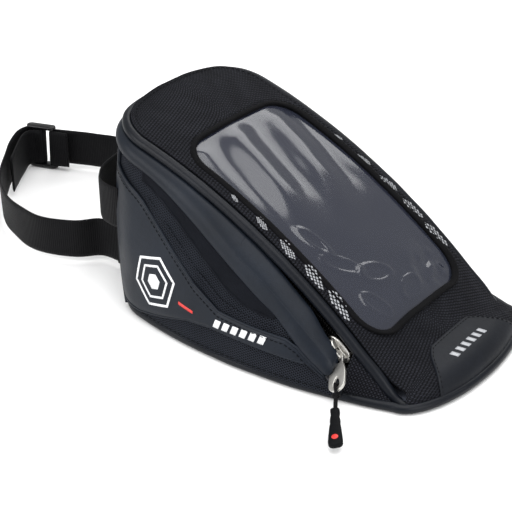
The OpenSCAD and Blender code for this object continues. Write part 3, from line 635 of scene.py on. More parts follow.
def lining_cloth(name, base):
    """Smooth thin coated lining, slightly clouded."""
    m = Nodes(name)
    n = m.noise(m.place, 18, 3)
    colour = m.ramp(n, (0.35, tint(base, 0.82)), (0.65, tint(base, 1.15)))
    return m.finish(colour, 0.62, m.bump(m.noise(m.place, 60, 2), 0.2, 0.0008), Specular_IOR_Level=0.2)


def film(name):
    """Smoky flexible vinyl: partly see-through, glossy, faintly blue."""
    m = Nodes(name)
    haze = m.noise(m.place, 22, 3)
    slow = m.bump(m.noise(m.place, 22, 1), 0.1, 0.002)
    m.finish(shade(41, 44, 55), m.grey(haze, 0.1, 0.17), slow, Alpha=0.78, Specular_IOR_Level=0.7)
    m.material.blend_method = "BLEND"
    return m.material


SLATE = shade(19, 24, 32)
M_LEATHER = leatherette("slate_leatherette", SLATE)
M_PATCH = leatherette("patch_leatherette", shade(13, 16, 22), 0.5)
M_PIPING = leatherette("piping_leatherette", shade(13, 16, 22), 0.38)
M_BALLISTIC = woven("ballistic_nylon", shade(2, 2, 3), shade(28, 29, 34), 2.6, 45, depth=0.5)
M_STRIP = woven("strip_nylon", shade(4, 4, 5), shade(20, 20, 23), 0.9, 45)
M_MESH = spacer_mesh("spacer_mesh", shade(2, 2, 3), shade(38, 41, 48), 1.25)
M_SOFT = woven("shoulder_fabric", shade(7, 8, 11), shade(19, 21, 27), 0.7, 0, depth=0.12)
M_LINING = woven("lining_fabric", shade(38, 40, 46), shade(70, 73, 82), 0.6, 0, depth=0.08)
M_TAPE = woven("zip_tape", shade(3, 3, 4), shade(13, 13, 15), 0.7, 45, depth=0.12)
M_WEB = ribbed("webbing", shade(2, 2, 3), shade(17, 17, 19))
M_COIL = plastic("zip_coil", shade(9, 9, 10), 0.35)
M_BUCKLE = plastic("buckle_acetal", shade(8, 8, 10), 0.22)
M_BOARD = plastic("base_board", shade(40, 40, 42), 0.6)
M_FOAM = plastic("wall_foam", shade(70, 70, 74), 0.9)
M_RUBBER = plastic("grip_rubber", shade(4, 5, 7), 0.6, 0.1)
M_CORD = ribbed("pull_cord", shade(3, 3, 4), shade(18, 18, 20), 0.8)
M_METAL = metal("matt_silver", shade(205, 203, 198), 0.32)
M_WHITE = printed("white_print", shade(225, 226, 228))
M_SILVER = printed("silver_print", shade(160, 162, 166), 0.35)
M_RED = printed("red_print", shade(205, 45, 38))
M_THREAD = ribbed("thread", shade(5, 6, 8), shade(30, 32, 37), 0.5)
M_FILM = film("clear_vinyl")
M_BACKING = lining_cloth("pocket_backing", shade(52, 55, 66))

# ---------------------------------------------------------------- base


def base_loop():
    """The whole outline of the base, round the tall end and the nose."""
    half = half_outline(NOSE_START, False, 5)
    a = np.radians(np.linspace(88, -88, 45))
    nose = np.stack([NOSE_START + NOSE_L * np.cos(a), float(base_half(NOSE_START)) * np.sin(a)], 1)
    return np.concatenate([whole(half), nose])


LOOP = base_loop()
LOOP_T = unit(np.roll(LOOP, -1, 0) - np.roll(LOOP, 1, 0))
LOOP_OUT = np.stack([-LOOP_T[:, 1], LOOP_T[:, 0]], 1)
if np.sum(LOOP_OUT * (LOOP - LOOP.mean(0))) < 0:
    LOOP_OUT = -LOOP_OUT


def base_rings(inset):
    """Plan grid of the base: its outline, inset, in 40 rings that shrink to the middle."""
    rim = LOOP - LOOP_OUT * inset
    grid = np.stack([rim * k for k in 1 - np.linspace(0, 1, 40) * 0.995], 0)
    grid = np.concatenate([grid, grid[:, :1]], 1)
    return grid[..., 0], grid[..., 1]


def build_base():
    zero = 0 * LOOP[:, 0]
    centre = np.column_stack([LOOP - BASE_PIPE_R * LOOP_OUT, zero + BASE_PIPE_R + 0.3])
    uneven = 0.12 * ripple(np.arange(len(LOOP)), zero, 9, 3)
    s = circle(1, 18)[None] * (BASE_PIPE_R + uneven)[:, None, None]
    tube("base_piping", placed(centre, np.column_stack([LOOP_OUT, zero]), upright(len(LOOP)), s), M_PIPING,
         "bag_body", closed=True, stands_for=("base_piping", "base_piping_cord"), slot="leatherette")
    # the bottom: a quilted sheet whose diamond pads reach down, turned up at its rim
    x, y = base_rings(4.6)
    across, along = (x + y) / QUILT_PITCH % 1, (x - y) / QUILT_PITCH % 1
    pad = QUILT_DEPTH * np.sin(np.pi * across) * np.sin(np.pi * along)
    low = np.where(np.arange(40)[:, None] < 2, 1.3, 0.3 - np.abs(pad))
    low[0] = 2.6
    top = np.where(np.arange(40)[:, None] < 1, 3.2, 1.6)
    shell("base_sheet", xyz(x, y, np.maximum(low, 0.02)), xyz(x, y, top), M_STRIP, "bag_body",
          stands_for=("base_panel",), slot="soft_fabric")
    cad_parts["base_board"].data.materials[0] = M_BOARD
    # floor lining, slightly puckered
    x, y = base_rings(7.5)
    z = 4.3 + 0.25 * ripple(x, y, 14, 5)
    shell("floor_sheet", xyz(x, y, z + 0.3), xyz(x, y, z - 0.2), M_LINING, "bag_body",
          stands_for=("floor_lining",), slot="soft_fabric")


# ---------------------------------------------------------------- walls


CLOTH_PRESSURE, CLOTH_FRAMES = 4.0, 20


def relaxed(grid, slack, limit):
    """How far each point of a padded panel moves when it is let go as cloth, sewn down along its edges."""
    r, c = grid.shape[:2]
    k = np.arange(r * c).reshape(r, c)
    faces = cells(k).reshape(-1, 4)
    mid = grid[r // 2, c // 2]
    normal = np.cross(grid[r // 2, c // 2 + 1] - mid, grid[r // 2 + 1, c // 2] - mid)
    if normal @ (mid - [0, 0, 20.0]) < 0:
        faces = faces[:, ::-1]
    mesh = bpy.data.meshes.new("draft")
    mesh.from_pydata((grid.reshape(-1, 3) * MM).tolist(), [], faces.tolist())
    obj = linked("draft", mesh)
    edge = np.concatenate([k[0], k[-1], k[1:-1, 0], k[1:-1, -1]])
    pins = obj.vertex_groups.new(name="sewn")
    pins.add([int(v) for v in edge], 1.0, "REPLACE")
    cloth = obj.modifiers.new("cloth", "CLOTH")
    cloth.settings.quality = 5
    cloth.settings.mass = 0.15
    cloth.settings.tension_stiffness = cloth.settings.compression_stiffness = 10
    cloth.settings.bending_stiffness = 0.3
    cloth.settings.use_pressure = True
    cloth.settings.uniform_pressure_force = CLOTH_PRESSURE
    cloth.settings.shrink_min = -slack
    cloth.settings.vertex_group_mass = "sewn"
    cloth.settings.effector_weights.gravity = 0
    cloth.collision_settings.use_collision = False
    cloth.point_cache.frame_start, cloth.point_cache.frame_end = 1, CLOTH_FRAMES
    for frame_number in range(1, CLOTH_FRAMES + 1):
        bpy.context.scene.frame_set(frame_number)
    shape = obj.evaluated_get(bpy.context.evaluated_depsgraph_get()).to_mesh()
    points = np.zeros(len(shape.vertices) * 3)
    shape.vertices.foreach_get("co", points)
    bpy.data.objects.remove(obj)
    bpy.data.meshes.remove(mesh)
    bpy.context.scene.frame_set(1)
    move = points.reshape(grid.shape) / MM - grid
    for _ in range(3):
        move[1:-1] = (move[:-2] + 2 * move[1:-1] + move[2:]) / 4
        move[:, 1:-1] = (move[:, :-2] + 2 * move[:, 1:-1] + move[:, 2:]) / 4
    far = np.linalg.norm(move, axis=-1, keepdims=True)
    return move * np.minimum(1, limit / np.maximum(far, 1e-6))


def resampled(field, rows, cols):
    """A coarse grid of values at the points of a finer grid."""
    r, c = field.shape[:2]
    u, v = np.linspace(0, r - 1, rows), np.linspace(0, c - 1, cols)
    a, b = np.minimum(u.astype(int), r - 2), np.minimum(v.astype(int), c - 2)
    fu, fv = (u - a)[:, None, None], (v - b)[None, :, None]
    low = mix(field[a][:, b], field[a][:, b + 1], fv)
    return mix(low, mix(field[a + 1][:, b], field[a + 1][:, b + 1], fv), fu)


def wall_grid(i0, i1, low, high, o, rows, cols=None, profile=None):
    """Grid over the wall between two stations and two heights, o outside; profile adds to o."""
    i = np.linspace(i0, i1, cols or int(abs(i1 - i0)) + 1)
    r = np.linspace(0, 1, rows)
    I, R = np.meshgrid(i, r)
    z = mix(low(I), high(I), R)
    extra = profile(I, R, z) if profile else 0
    return wall(I, z, o + extra)


def mirror(grid):
    return grid[:, ::-1] * [1, -1, 1]


def both_sides(name, make, material, nodes=(), slot=None):
    """Left piece from make(), and its mirror image as the right piece."""
    for side in ("left", "right"):
        outer, inner = make()
        if side == "right":
            outer, inner = mirror(outer), mirror(inner)
        stands = [f"{side}_{n}" for n in nodes]
        shell(f"{side}_{name}", outer, inner, material, "bag_body", stands_for=stands, slot=slot)


def panel_top(i):
    return np.maximum(WALL_FOOT + 1.5, band_low(i) + 2.5 - slider_room(i))


def soft(i, z, amount, size, seed):
    """Slow creases of the wall's cloth, at two sizes."""
    x = station_x(i)
    return amount * ripple(x, z, size, seed) + amount * 0.4 * ripple(x, z, size * 0.35, seed + 1)


def padded(R, edge):
    """Rises from a sewn edge to a flat crown and back, across 0..1."""
    return dome(np.minimum(R, 1 - R) / edge)


def foot_line(i):
    return np.full_like(np.asarray(i, float), 3.6)


WING_TIP = station_at(WING_FRONT_X)
WING_ROWS, WING_COLS = 60, 260
WING_DRAFT = []


def wing_rise():
    """The padded swelling of a wing panel, from its cloth draft."""
    if not WING_DRAFT:
        draft = wall_grid(WING_TIP, LEFT_SEAM, wing_low, wing_high, WING_OFF, 18, 60)
        WING_DRAFT.append(0.6 * resampled(relaxed(draft, 0.01, 1.5), WING_ROWS, WING_COLS))
    return WING_DRAFT[0]


def wing_crown(i, R, z):
    """How far the wing's padded crown, and its slow creases, stand off the wall."""
    wide = np.clip((wing_high(i) - wing_low(i)) / 30, 0.25, 1)
    return padded(R, 0.07 / wide + 0.02), 0.35 * soft(i, z, 0.4, 30, 17) * wide


def shoulder_low(i):
    return np.minimum(seam_low(i), band_low(i) + 0.3)


def mesh_fold(i):
    """Second, lower line where the mesh is folded over itself."""
    return mix(wing_high(i), seam_low(i), 0.42)


def build_sides():
    def mesh_panel():
        prof = lambda I, R, z: soft(I, z, 0.25, 22, 7) + 0.7 * padded(R, 0.1) - 0.9
        area = (station_at(PANEL_FRONT_X), LEFT_SEAM, foot_line, panel_top)
        swell = resampled(relaxed(wall_grid(*area, 0.1, 16, 56, prof), 0.04, 1.4), 44, 230)
        return wall_grid(*area, 0.1, 44, 230, prof) + 0.5 * swell, wall_grid(*area, PANEL_IN, 44, 230)
    both_sides("mesh_wall", mesh_panel, M_MESH, nodes=("side_panel",), slot="mesh_fabric")

    def wing():
        def prof(I, R, z):
            crown, creases = wing_crown(I, R, z)
            return crown * smooth((I - WING_TIP) / (3.0 * DENSE)) ** 0.5 + creases
        area = (WING_TIP, LEFT_SEAM, wing_low, wing_high)
        outer = wall_grid(*area, WING_OFF, WING_ROWS, WING_COLS, prof) + wing_rise()
        return outer, wall_grid(*area, OVERLAY_IN, WING_ROWS, WING_COLS)
    both_sides("wing", wing, M_LEATHER, nodes=("wing_panel",), slot="leatherette")

    def shoulder():
        prof = lambda I, R, z: 0.5 * padded(R, 0.15) + soft(I, z, 0.5, 9, 23)
        area = (station_at(SHOULDER_FRONT_X), SHOULDER_REAR, shoulder_low, lambda I: band_low(I) + 0.8)
        return wall_grid(*area, 0.55, 24, 120, prof), wall_grid(*area, OVERLAY_IN, 24, 120)
    both_sides("shoulder", shoulder, M_SOFT, nodes=("shoulder_panel",), slot="soft_fabric")

    # raised seams and rows of thread: first and last station, height, distance off the wall, points
    shoulder_tip = station_at(SHOULDER_FRONT_X)
    seams = (("wing_edge", WING_TIP, LEFT_SEAM, wing_high, 0.9, 200, 0.75, M_LEATHER, 4),
             ("wing_hem", WING_TIP, LEFT_SEAM, wing_low, 0.7, 200, 0.6, M_LEATHER, 4),
             ("shoulder_seam", shoulder_tip, SHOULDER_REAR, shoulder_low, 0.9, 120, 0.55, M_SOFT, 4),
             ("mesh_fold", station_at(24), 15.2 * DENSE, mesh_fold, 0.45, 120, 0.5, M_MESH, 6))
    rows = (("wing", WING_TIP + 3, LEFT_SEAM - 1, lambda i: wing_high(i) - 2.2, 1.75, 200, WING_STITCH),
            ("base", 4, LEFT_SEAM, lambda i: np.full_like(i, 6.4), 0.25, 240, LONG_STITCH))
    for side, flip in (("left", [1, 1, 1]), ("right", [1, -1, 1])):
        for name, i0, i1, height, off, n, r, material, taper in seams:
            i = np.linspace(i0, i1, n)
            path = wall(i, height(i), off) * flip
            sweep_round(f"{side}_{name}", path, r, material, "bag_body", n=8, taper=taper)
        for name, i0, i1, height, off, n, stitch in rows:
            i = np.linspace(i0, i1, n)
            normal = np.column_stack([at(LID_OUT, i), np.full(n, 0.25)])
            path = wall(i, height(i), off) * flip
            stitches(f"{side}_{name}_stitches", path, unit(normal * flip), "bag_body", *stitch)


def lean_in(x):
    """How far the storm band's free edge leans in over the zip."""
    return 3.2 * smooth((x + 30) / 35)


def build_band():
    """One leatherette roll round both sides and the tall end; its lip, where the slider runs, is a separate
    piece.
    """
    last = COUNT - 1
    tip = station_at(BAND_FRONT_X)
    rows, fold, cols = 30, 18, 620
    cap = tip + BAND_CAP * (1 - np.cos(np.linspace(0, 0.5 * math.pi, 14)))
    run = np.linspace(tip + BAND_CAP, last - tip - BAND_CAP, cols)
    i = np.concatenate([cap[:-1], run, (last - cap[::-1])[1:]])
    I, K = np.meshgrid(i, np.linspace(0, 1, rows))
    grow = dome((np.minimum(I, last - I) - tip) / BAND_CAP)
    x = station_x(I)
    lip, low = band_lip(I), band_low(I) - 0.3
    mid = mix(low, lip, 0.5)
    low, lip = mix(mid, low, mix(0.1, 1, grow)), mix(mid, lip, mix(0.1, 1, grow))
    share = np.clip((edge_height(I) - FLAP_DEPTH - low) / np.maximum(lip - low, 0.1), 0.3, 0.85)
    share = mix(0.6, share, smooth((x + 16) / 10))
    at_fold = fold / (rows - 1)
    R = np.where(K < at_fold, share * K / at_fold, share + (1 - share) * (K - at_fold) / (1 - at_fold))
    z = mix(low, lip, R)
    tall = np.clip((lip - low) / 10, 0.1, 1)
    roll = 2.3 * tall * np.sin(np.pi * np.clip(R, 0, 1)) ** 0.7 * grow
    ridges = 0.1 * np.sin(2 * np.pi * x / 1.3) * smooth((x + 10) / 20) * np.clip(1.6 - 2 * R, 0, 1) * grow
    ridges = ridges * np.sin(np.pi * R) ** 0.5
    sag = 0.3 * ripple(I / DENSE * 9.4, z, 22, 31) * grow
    lean = lean_in(x) * np.clip((R - share) / (1 - share), 0, 1) ** 1.5
    tuck = 0.9 * R ** 6 * (1 - smooth((x + 18) / 24)) + lean
    outer = wall(I, z, 0.8 + 0.3 * R + roll + ridges + sag - tuck)
    inner = wall(I, z, 0.1 - 0.4 * R - tuck)
    flap = (np.arange(rows - 1)[:, None] >= fold) & (i[None, 1:] < station_at(FLAP_REAR))
    band = shell("band_roll", outer, inner, M_LEATHER, "bag_body", keep=~flap,
                 stands_for=("storm_band",), slot="leatherette")
    lip = shell("storm_lip", outer, inner, M_LEATHER, "bag_body", keep=flap, slot="leatherette")
    for piece in (band, lip):
        piece.data.set_sharp_from_angle(angle=math.radians(65))
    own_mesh(lip)


def build_tall_end():
    first, last = LEFT_SEAM + 1.5, COUNT - 1 - LEFT_SEAM - 1.5
    prof = lambda I, R, z: 0.9 * padded(R, 0.08) + soft(I, z, 0.5, 26, 41) - 0.8
    area = (first, last, foot_line, lambda I: band_low(I) + 2.5)
    swell = resampled(relaxed(wall_grid(*area, 0.3, 20, 40, prof), 0.02, 1.8), 50, 120)
    outer = wall_grid(*area, 0.3, 50, 120, prof) + 0.8 * swell
    shell("tall_end_sheet", outer, wall_grid(*area, -1.2, 50, 120), M_LEATHER, "bag_body",
          stands_for=("tall_end_panel",), slot="mesh_fabric")
    for side, seam, shift in (("left", LEFT_SEAM, 5.0), ("right", COUNT - 1 - LEFT_SEAM, -5.0)):
        i = np.full(70, float(seam))
        z = np.minimum(np.linspace(3.2, 92, 70), band_low(i) + 1)
        sweep_round(f"{side}_corner_welt", wall(i, z, 0.5), 1.25, M_LEATHER, "bag_body", n=10)
        p = wall(i + shift, z, 0.55)
        nrm = np.column_stack([at(LID_OUT, i + shift), np.zeros(70)])
        stitches(f"{side}_corner_stitches", p[2:-6], nrm[2:-6], "bag_body", *LONG_STITCH)


def lining_top(i):
    """Upper edge of the lining, under the zip's recess."""
    depth = 19.1 + 1.4 * smooth((50 - station_x(i)) / 30)
    return np.maximum(WALL_FOOT + 1, edge_height(i) - depth - slider_room(i))


def build_inside():
    """Wall lining with foam behind it, and the floor of the zip's recess, all round."""
    first, last = station_at(LINING_FRONT_X), COUNT - 1
    prof = lambda I, R, z: 0.35 * ripple(I * 1.5, z, 12, 51)
    area = (first, last - first, lambda i: foot_line(i) + 1.5, lining_top)
    shell("lining_wall", wall_grid(*area, LINING_IN, 30, 300, prof),
          wall_grid(*area, LINING_IN - LINING_T, 30, 300, prof), M_LINING, "bag_body",
          stands_for=("wall_lining",), slot="soft_fabric")
    for n in ("left_side_foam", "right_side_foam", "tall_end_foam"):
        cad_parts[n].data.materials[0] = M_FOAM
    # the recess floor: the lower tape's flap, out to the wall under the band
    p, out, up = edge_frame(whole(half_outline(ZIP_END_X, True)))
    at_w = lambda w, h: p + w * out + h * up
    i = np.linspace(first, last - first, len(p))
    edge = wall(i, np.maximum(panel_top(i) - 1.5, 6.5), -1.2)
    corner = at_w(-3.9, -16.6)
    flap = [mix(corner, edge, 0.35), mix(corner, edge, 0.7), edge]
    outer = [at_w(-4.1, -11.7), at_w(-4.0, -14.0), corner] + flap
    inner = [at_w(-4.7, -11.7), at_w(-4.6, -14.0), corner - [0, 0, 0.9]] + [q - [0, 0, 0.8] for q in flap]
    shell("zip_recess", np.stack(outer), np.stack(inner), M_TAPE, "bag_body",
          stands_for=("lower_zip_tape",), slot="zip_tape")
    return p, out, up


# ---------------------------------------------------------------- nose and lid


def lid_rows(inset, n, gap, front, step):
    """Rows across the lid's sheet, close together at its curved rear end."""
    rear = LID_END_X - LID_END_R + inset
    close = rear + 12 * (1 - np.cos(np.linspace(0, 0.5 * math.pi, n)))
    return np.concatenate([close, np.arange(rear + gap, front, step)])


def spread(xs, half, n):
    """Plan grid of rows at xs, each n points wide out to its half width."""
    return np.repeat(xs[:, None], n, 1), half[:, None] * np.linspace(-1, 1, n)


def loop_distance(x, y):
    """Distance of points in plan from the base's outline."""
    q = np.stack([np.ravel(x), np.ravel(y)], 1)
    best = np.full(len(q), 1e9)
    for k in range(len(LOOP)):
        a, b = LOOP[k - 1], LOOP[k]
        t = np.clip(((q - a) @ (b - a)) / max(1e-9, (b - a) @ (b - a)), 0, 1)
        best = np.minimum(best, np.linalg.norm(q - a - t[:, None] * (b - a), axis=1))
    return best.reshape(np.shape(x))


def nose_z(x, y):
    """The lid's surface, rolled down to the base's piping round the nose."""
    roll = dome((loop_distance(x, y) - 2.6) / 11)
    z = lid_z(x, y)
    return mix(z, 3.6 + (z - 3.6) * roll, smooth((x - 80) / 8))


def lid_half_width(x, inset=5.0):
    """Half width of the lid's sheet at x, from its rear corner's arc forward to the nose."""
    x = np.asarray(x, float)
    side = np.full_like(x, LID_HALF_W - inset)
    r = LID_CORNER_R - inset
    d = LID_CORNER[0] - x
    corner = LID_CORNER[1] + np.sqrt(np.maximum(r * r - d * d, 0))
    R = LID_END_R - inset
    end = np.sqrt(np.maximum(R * R - (x - LID_END_X) ** 2, 0))
    rear_tangent = LID_CORNER[0] + r * math.cos(LID_END_A)
    half = np.where(x < LID_CORNER[0], np.where(x < rear_tangent, end, corner), side)
    free = base_edge(x) - 2.6
    return np.where(x > FOLD_X, np.minimum(mix(half, free, smooth((x - 91.5) / 5)), free), half)


def in_window(x, y, grow=0.0):
    r = WINDOW_R + grow
    dx = np.maximum(np.maximum(WINDOW_X0 + WINDOW_R - x, x - WINDOW_X1 + WINDOW_R), 0)
    dy = np.maximum(np.abs(y) - (WINDOW_HALF - WINDOW_R), 0)
    return np.hypot(dx, dy) < r


def window_loop(grow):
    """Points and outward directions round the window's edge, grown by grow."""
    x0, x1, h = WINDOW_X0 + WINDOW_R, WINDOW_X1 - WINDOW_R, WINDOW_HALF - WINDOW_R
    corners = [(x1, -h), (x1, h), (x0, h), (x0, -h)]
    pts, dirs = [], []
    for k, d in enumerate(((1, 0), (0, 1), (-1, 0), (0, -1))):
        p, q = corners[k], corners[(k + 1) % 4]
        for a in np.radians(90 * k - 90 + np.linspace(0, 90, 14)):
            dirs.append((math.cos(a), math.sin(a)))
            pts.append(p)
        for s in np.linspace(0, 1, 42 if k % 2 else 22)[1:-1]:
            dirs.append(d)
            pts.append((mix(p[0], q[0], s), mix(p[1], q[1], s)))
    dirs = np.array(dirs)
    return np.array(pts) + (WINDOW_R + grow) * dirs, dirs


def cloth_z(x, y):
    """The lid's woven surface with its soft creases, deepest near the nose."""
    z = nose_z(x, y)
    front = smooth((x - 60) / 18) * (1 - 0.6 * smooth((x - 96) / 10))
    flat = 1 - smooth((x - 81) / 5) * (1 - smooth((np.abs(y) - 34) / 6))
    front = front * flat
    z = z + 0.45 * ripple(x * 0.8 + y * 0.3, y, 13, 61) * mix(0.5, 1.0, front) * flat
    z = z + 0.3 * front * ripple(x + 0.4 * y, y - 0.5 * x, 5, 62)
    return z


def pipe_z(x):
    """Height of the lid's edge, and of its piping where it runs down into the base."""
    return mix(edge_z(x), round_max(arch(x) + 1.4, 4.4, 9), smooth((x - 66) / 14))


def build_lid():
    xs = lid_rows(5.25, 24, 13, 110.6, 1.15)
    X, Y = spread(xs, lid_half_width(xs), 111)
    Z = cloth_z(X, Y)
    cx, cy = (X[:-1, :-1] + X[1:, 1:]) / 2, (Y[:-1, :-1] + Y[1:, 1:]) / 2
    opening = in_window(cx, cy, 1.2)
    cover = shell("lid_cover", xyz(X, Y, Z), xyz(X, Y, Z - COVER_T), M_BALLISTIC, None, keep=~opening,
                  stands_for=("lid_panel", "nose_panel"), slot="ballistic_fabric")
    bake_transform(cover)

    # piping round the lid, carried on past the fold to the base
    ahead = np.linspace(99.5, FOLD_X + 1.5, 30)
    side = np.stack([ahead, np.minimum(LID_HALF_W, base_edge(ahead) - 0.6)], 1)
    line = whole(np.concatenate([side, half_outline(FOLD_X, True, 7)]))
    x = line[:, 0]
    p, out, up = edge_frame(line, pipe_z(x))
    thin = 1 - 0.22 * smooth((x - 80) / 20)
    rad = (PIPE_R + 0.05) * (1 + 0.03 * ripple(np.arange(len(x)), 0 * x, 7, 71)) * thin
    ring = circle(1, 20)[None] * rad[:, None, None]
    pipe = tube("lid_piping_roll", placed(p - PIPE_R * out - PIPE_R * up, out, up, ring), M_PIPING, None,
                stands_for=("lid_piping", "lid_piping_cord", "nose_piping"), slot="leatherette")
    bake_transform(pipe)

    # thread just inside the piping
    keep = x < 68
    q = (p - (2 * PIPE_R + 0.4) * out + (3.2 - PIPE_R) * up)[keep]
    q[:, 2] = cloth_z(q[:, 0], q[:, 1]) + 0.15
    stitches("lid_edge_stitches", q - out[keep] * 1.6, upright(len(q)), "lid", *LID_STITCH)


def vinyl_waves(X, Y, inside):
    """Long ripples of the loose vinyl, pressed rings, and tight puckers in its front corners."""
    w = ripple(X * 0.35 + Y * 0.9, (X * 0.9 - Y * 0.35) * 0.5, 24, 81) + 0.2 * ripple(X - 0.6 * Y, Y, 18, 82)
    w = w + 1.1 * smooth((30 - X) / 50) * np.sin((Y + 0.35 * X + 6 * ripple(X, Y, 45, 86)) / 5.5)
    front = smooth((X - 38) / 20) * smooth(Y / 22)
    w = w + 1.1 * front * ripple(X + Y * 0.4, Y - 0.3 * X, 4.6, 83) * smooth(inside / 3)
    for cx, cy, rx, ry, angle in ((18, -30, 9, 3.2, 20), (34, -27, 11, 3.6, 45), (46, -12, 10, 4.5, 70),
                                  (57, -27, 8, 4, 30), (60, 2, 9, 4, 100)):
        c, q = math.cos(math.radians(angle)), math.sin(math.radians(angle))
        a, b = ((X - cx) * c + (Y - cy) * q) / rx, ((Y - cy) * c - (X - cx) * q) / ry
        w = w + 0.8 * np.exp(-((np.hypot(a, b) - 1) * min(rx, ry) / 0.8) ** 2)
    front_left = smooth((X - 48) / 14) * smooth((-Y - 10) / 20)
    return w + 0.35 * front_left * ripple(X, Y, 5, 84)


def build_window():
    loop, dirs = window_loop(0)
    section = [[-0.8, -1.4], [-0.9, 0.15], [-0.2, 0.62], [0.9, 0.72], [2.3, 0.62], [3.0, 0.35], [3.05, -0.6]]
    c = np.column_stack([loop, cloth_z(loop[:, 0], loop[:, 1])])
    flat = np.column_stack([dirs, np.zeros(len(dirs))])
    tube("window_edge", placed(c, flat, upright(len(c)), section), M_TAPE, "lid", closed=True,
         stands_for=("window_binding",), slot="zip_tape")
    row, _ = window_loop(2.2)
    p = np.column_stack([row, cloth_z(row[:, 0], row[:, 1]) + 0.72])
    stitches("window_stitches", np.concatenate([p, p[:1]]), upright(len(p) + 1), "lid", *WINDOW_STITCH)

    # vinyl: a loose sheet, held under the binding
    under = 2.3
    xs = np.arange(WINDOW_X0 - 2.2, WINDOW_X1 + under, 0.95)
    past = np.maximum(np.maximum(WINDOW_X0 + WINDOW_R - xs, xs - WINDOW_X1 + WINDOW_R), 0)
    r = WINDOW_R + under
    X, Y = spread(xs, WINDOW_HALF + under - sagitta(r, np.minimum(past, r - 0.01)), 96)
    inside = np.minimum(np.minimum(X - WINDOW_X0, WINDOW_X1 - X), WINDOW_HALF - np.abs(Y))
    free = smooth(inside / 12)
    w = vinyl_waves(X, Y, inside)
    Z = lid_z(X, Y) - FILM_DEPTH + free * (0.5 + w) + (1 - free) * 0.2 * w
    shell("window_film", xyz(X, Y, Z), xyz(X, Y, Z - FILM_T), M_FILM, "lid",
          stands_for=("window_vinyl",), slot="clear_vinyl")

    # backing of the map pocket under the vinyl, its sides curved up to the cover, with two pressed folds
    xs = lid_rows(9.8, 14, 13.5, 77.5, 1.6)
    half = lid_half_width(xs, 7.2)
    X, Y = spread(xs, half, 70)
    closed = 2.9 * smooth((np.abs(Y) - half[:, None] + 4) / 4)
    crease = 0.9 * np.exp(-((X + 6 + 0.45 * Y) / 1.1) ** 2) + 0.9 * np.exp(-((X - 34 + 0.1 * Y) / 1.1) ** 2)
    Z = lid_z(X, Y) - BACKING_DEPTH + 0.35 * ripple(X, Y, 21, 85) + crease + closed
    shell("pocket_backing", xyz(X, Y, Z), xyz(X, Y, Z - BACKING_T), M_BACKING, "lid",
          stands_for=("map_pocket_floor",), slot="soft_fabric")
    for n in ("pocket_hook_tape", "pocket_loop_tape"):
        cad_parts[n].data.materials[0] = M_TAPE


def patch_half(x):
    """Half width of the nose patch: rounded at the rear, out to the piping at the nose."""
    x = np.asarray(x, float)
    wide = 22 + 0.95 * np.maximum(x - 86.5, 0) - 5.5 * (1 - dome((x - PATCH_REAR_X) / 5.5))
    return np.minimum(wide, base_edge(x) - 2.9)


def build_nose():
    def gusset():
        """Side piece between the lid's piping and the base, in front of the slider."""
        x = np.linspace(62.0, 96.0, 60)
        top_y = np.minimum(LID_HALF_W, base_edge(x) - 0.6) - PIPE_R
        top_z = np.maximum(pipe_z(x) - PIPE_R - 1.0, 3.4)
        r = np.linspace(0, 1, 22)[:, None]
        y, z = mix(base_edge(x) - 1.6, top_y, r), mix(3.2, top_z, r)
        bow = 1.6 * np.sin(np.pi * r) * smooth((top_z - 5) / 10)
        fold = 0.45 * ripple(x * 0.9 + z * 0.5, z - x * 0.3, 4.5, 91) * np.sin(np.pi * r) ** 0.5
        g = xyz(x, -(y + bow + fold), z + 0.4 * bow)
        return g, g + [0, 1.2, -0.5]
    both_sides("gusset", gusset, M_BALLISTIC, slot="ballistic_fabric")

    # leatherette patch over the nose, with a turned edge, down to the base's piping
    rear = PATCH_REAR_X + 2.6 * (1 - np.cos(np.linspace(0, 0.5 * math.pi, 9)))[:-1]
    xs = np.concatenate([rear, np.linspace(PATCH_REAR_X + 2.6, PATCH_FRONT_X, 50)])
    half = patch_half(xs)
    X, Y = spread(xs, half, 131)
    Z = nose_z(X, Y)
    edge = np.minimum(half[:, None] - np.abs(Y), (X - PATCH_REAR_X) * 1.2)
    edge = np.where(X > 100, np.maximum(edge, 3 * smooth((X - 100) / 6)), edge)
    shell("nose_patch_cover", xyz(X, Y, Z + 0.3 + 0.9 * dome(edge / 2.2)), xyz(X, Y, Z + 0.1), M_PATCH,
          "bag_body", stands_for=("nose_patch",), slot="leatherette")
    run = np.linspace(91, 106, 30)
    side = np.stack([run, patch_half(run) - 1.9], 1)
    rear = np.stack([np.full(50, 87.4), np.linspace(-18.5, 18.5, 50)], 1)
    path = np.concatenate([side[::-1] * [1, -1], rear, side])
    path = np.column_stack([path, nose_z(path[:, 0], path[:, 1]) + 1.22])
    stitches("nose_patch_stitches", path, upright(len(path)), "bag_body", *PATCH_STITCH)
    xs = np.arange(82.0, 108.6, 1.4)
    X, Y = spread(xs, lid_half_width(xs) - 5.0, 61)
    shell("nose_pad", xyz(X, Y, np.maximum(nose_z(X, Y) - 2.0, 2.6)), xyz(X, Y, 2.3), M_FOAM, "bag_body",
          stands_for=("nose_padding",), slot="foam")


# ---------------------------------------------------------------- zip


def zip_matrix(angle):
    """Frame on the zip's line at an angle round the arch: X along it, Y up across it, Z outwards."""
    m = Matrix.Translation((ARCH_X, 0, ARCH_Z)) @ turn(angle, "Y")
    m = m @ Matrix.Translation((0, -LID_HALF_W + ZIP_INSET - COIL_R - 0.05, ARCH_R - ZIP_DEPTH))
    return m @ turn(90, "X")


def moved(points, m):
    p = np.asarray(points, float)
    a = np.array(m)
    return p @ a[:3, :3].T + a[:3, 3]


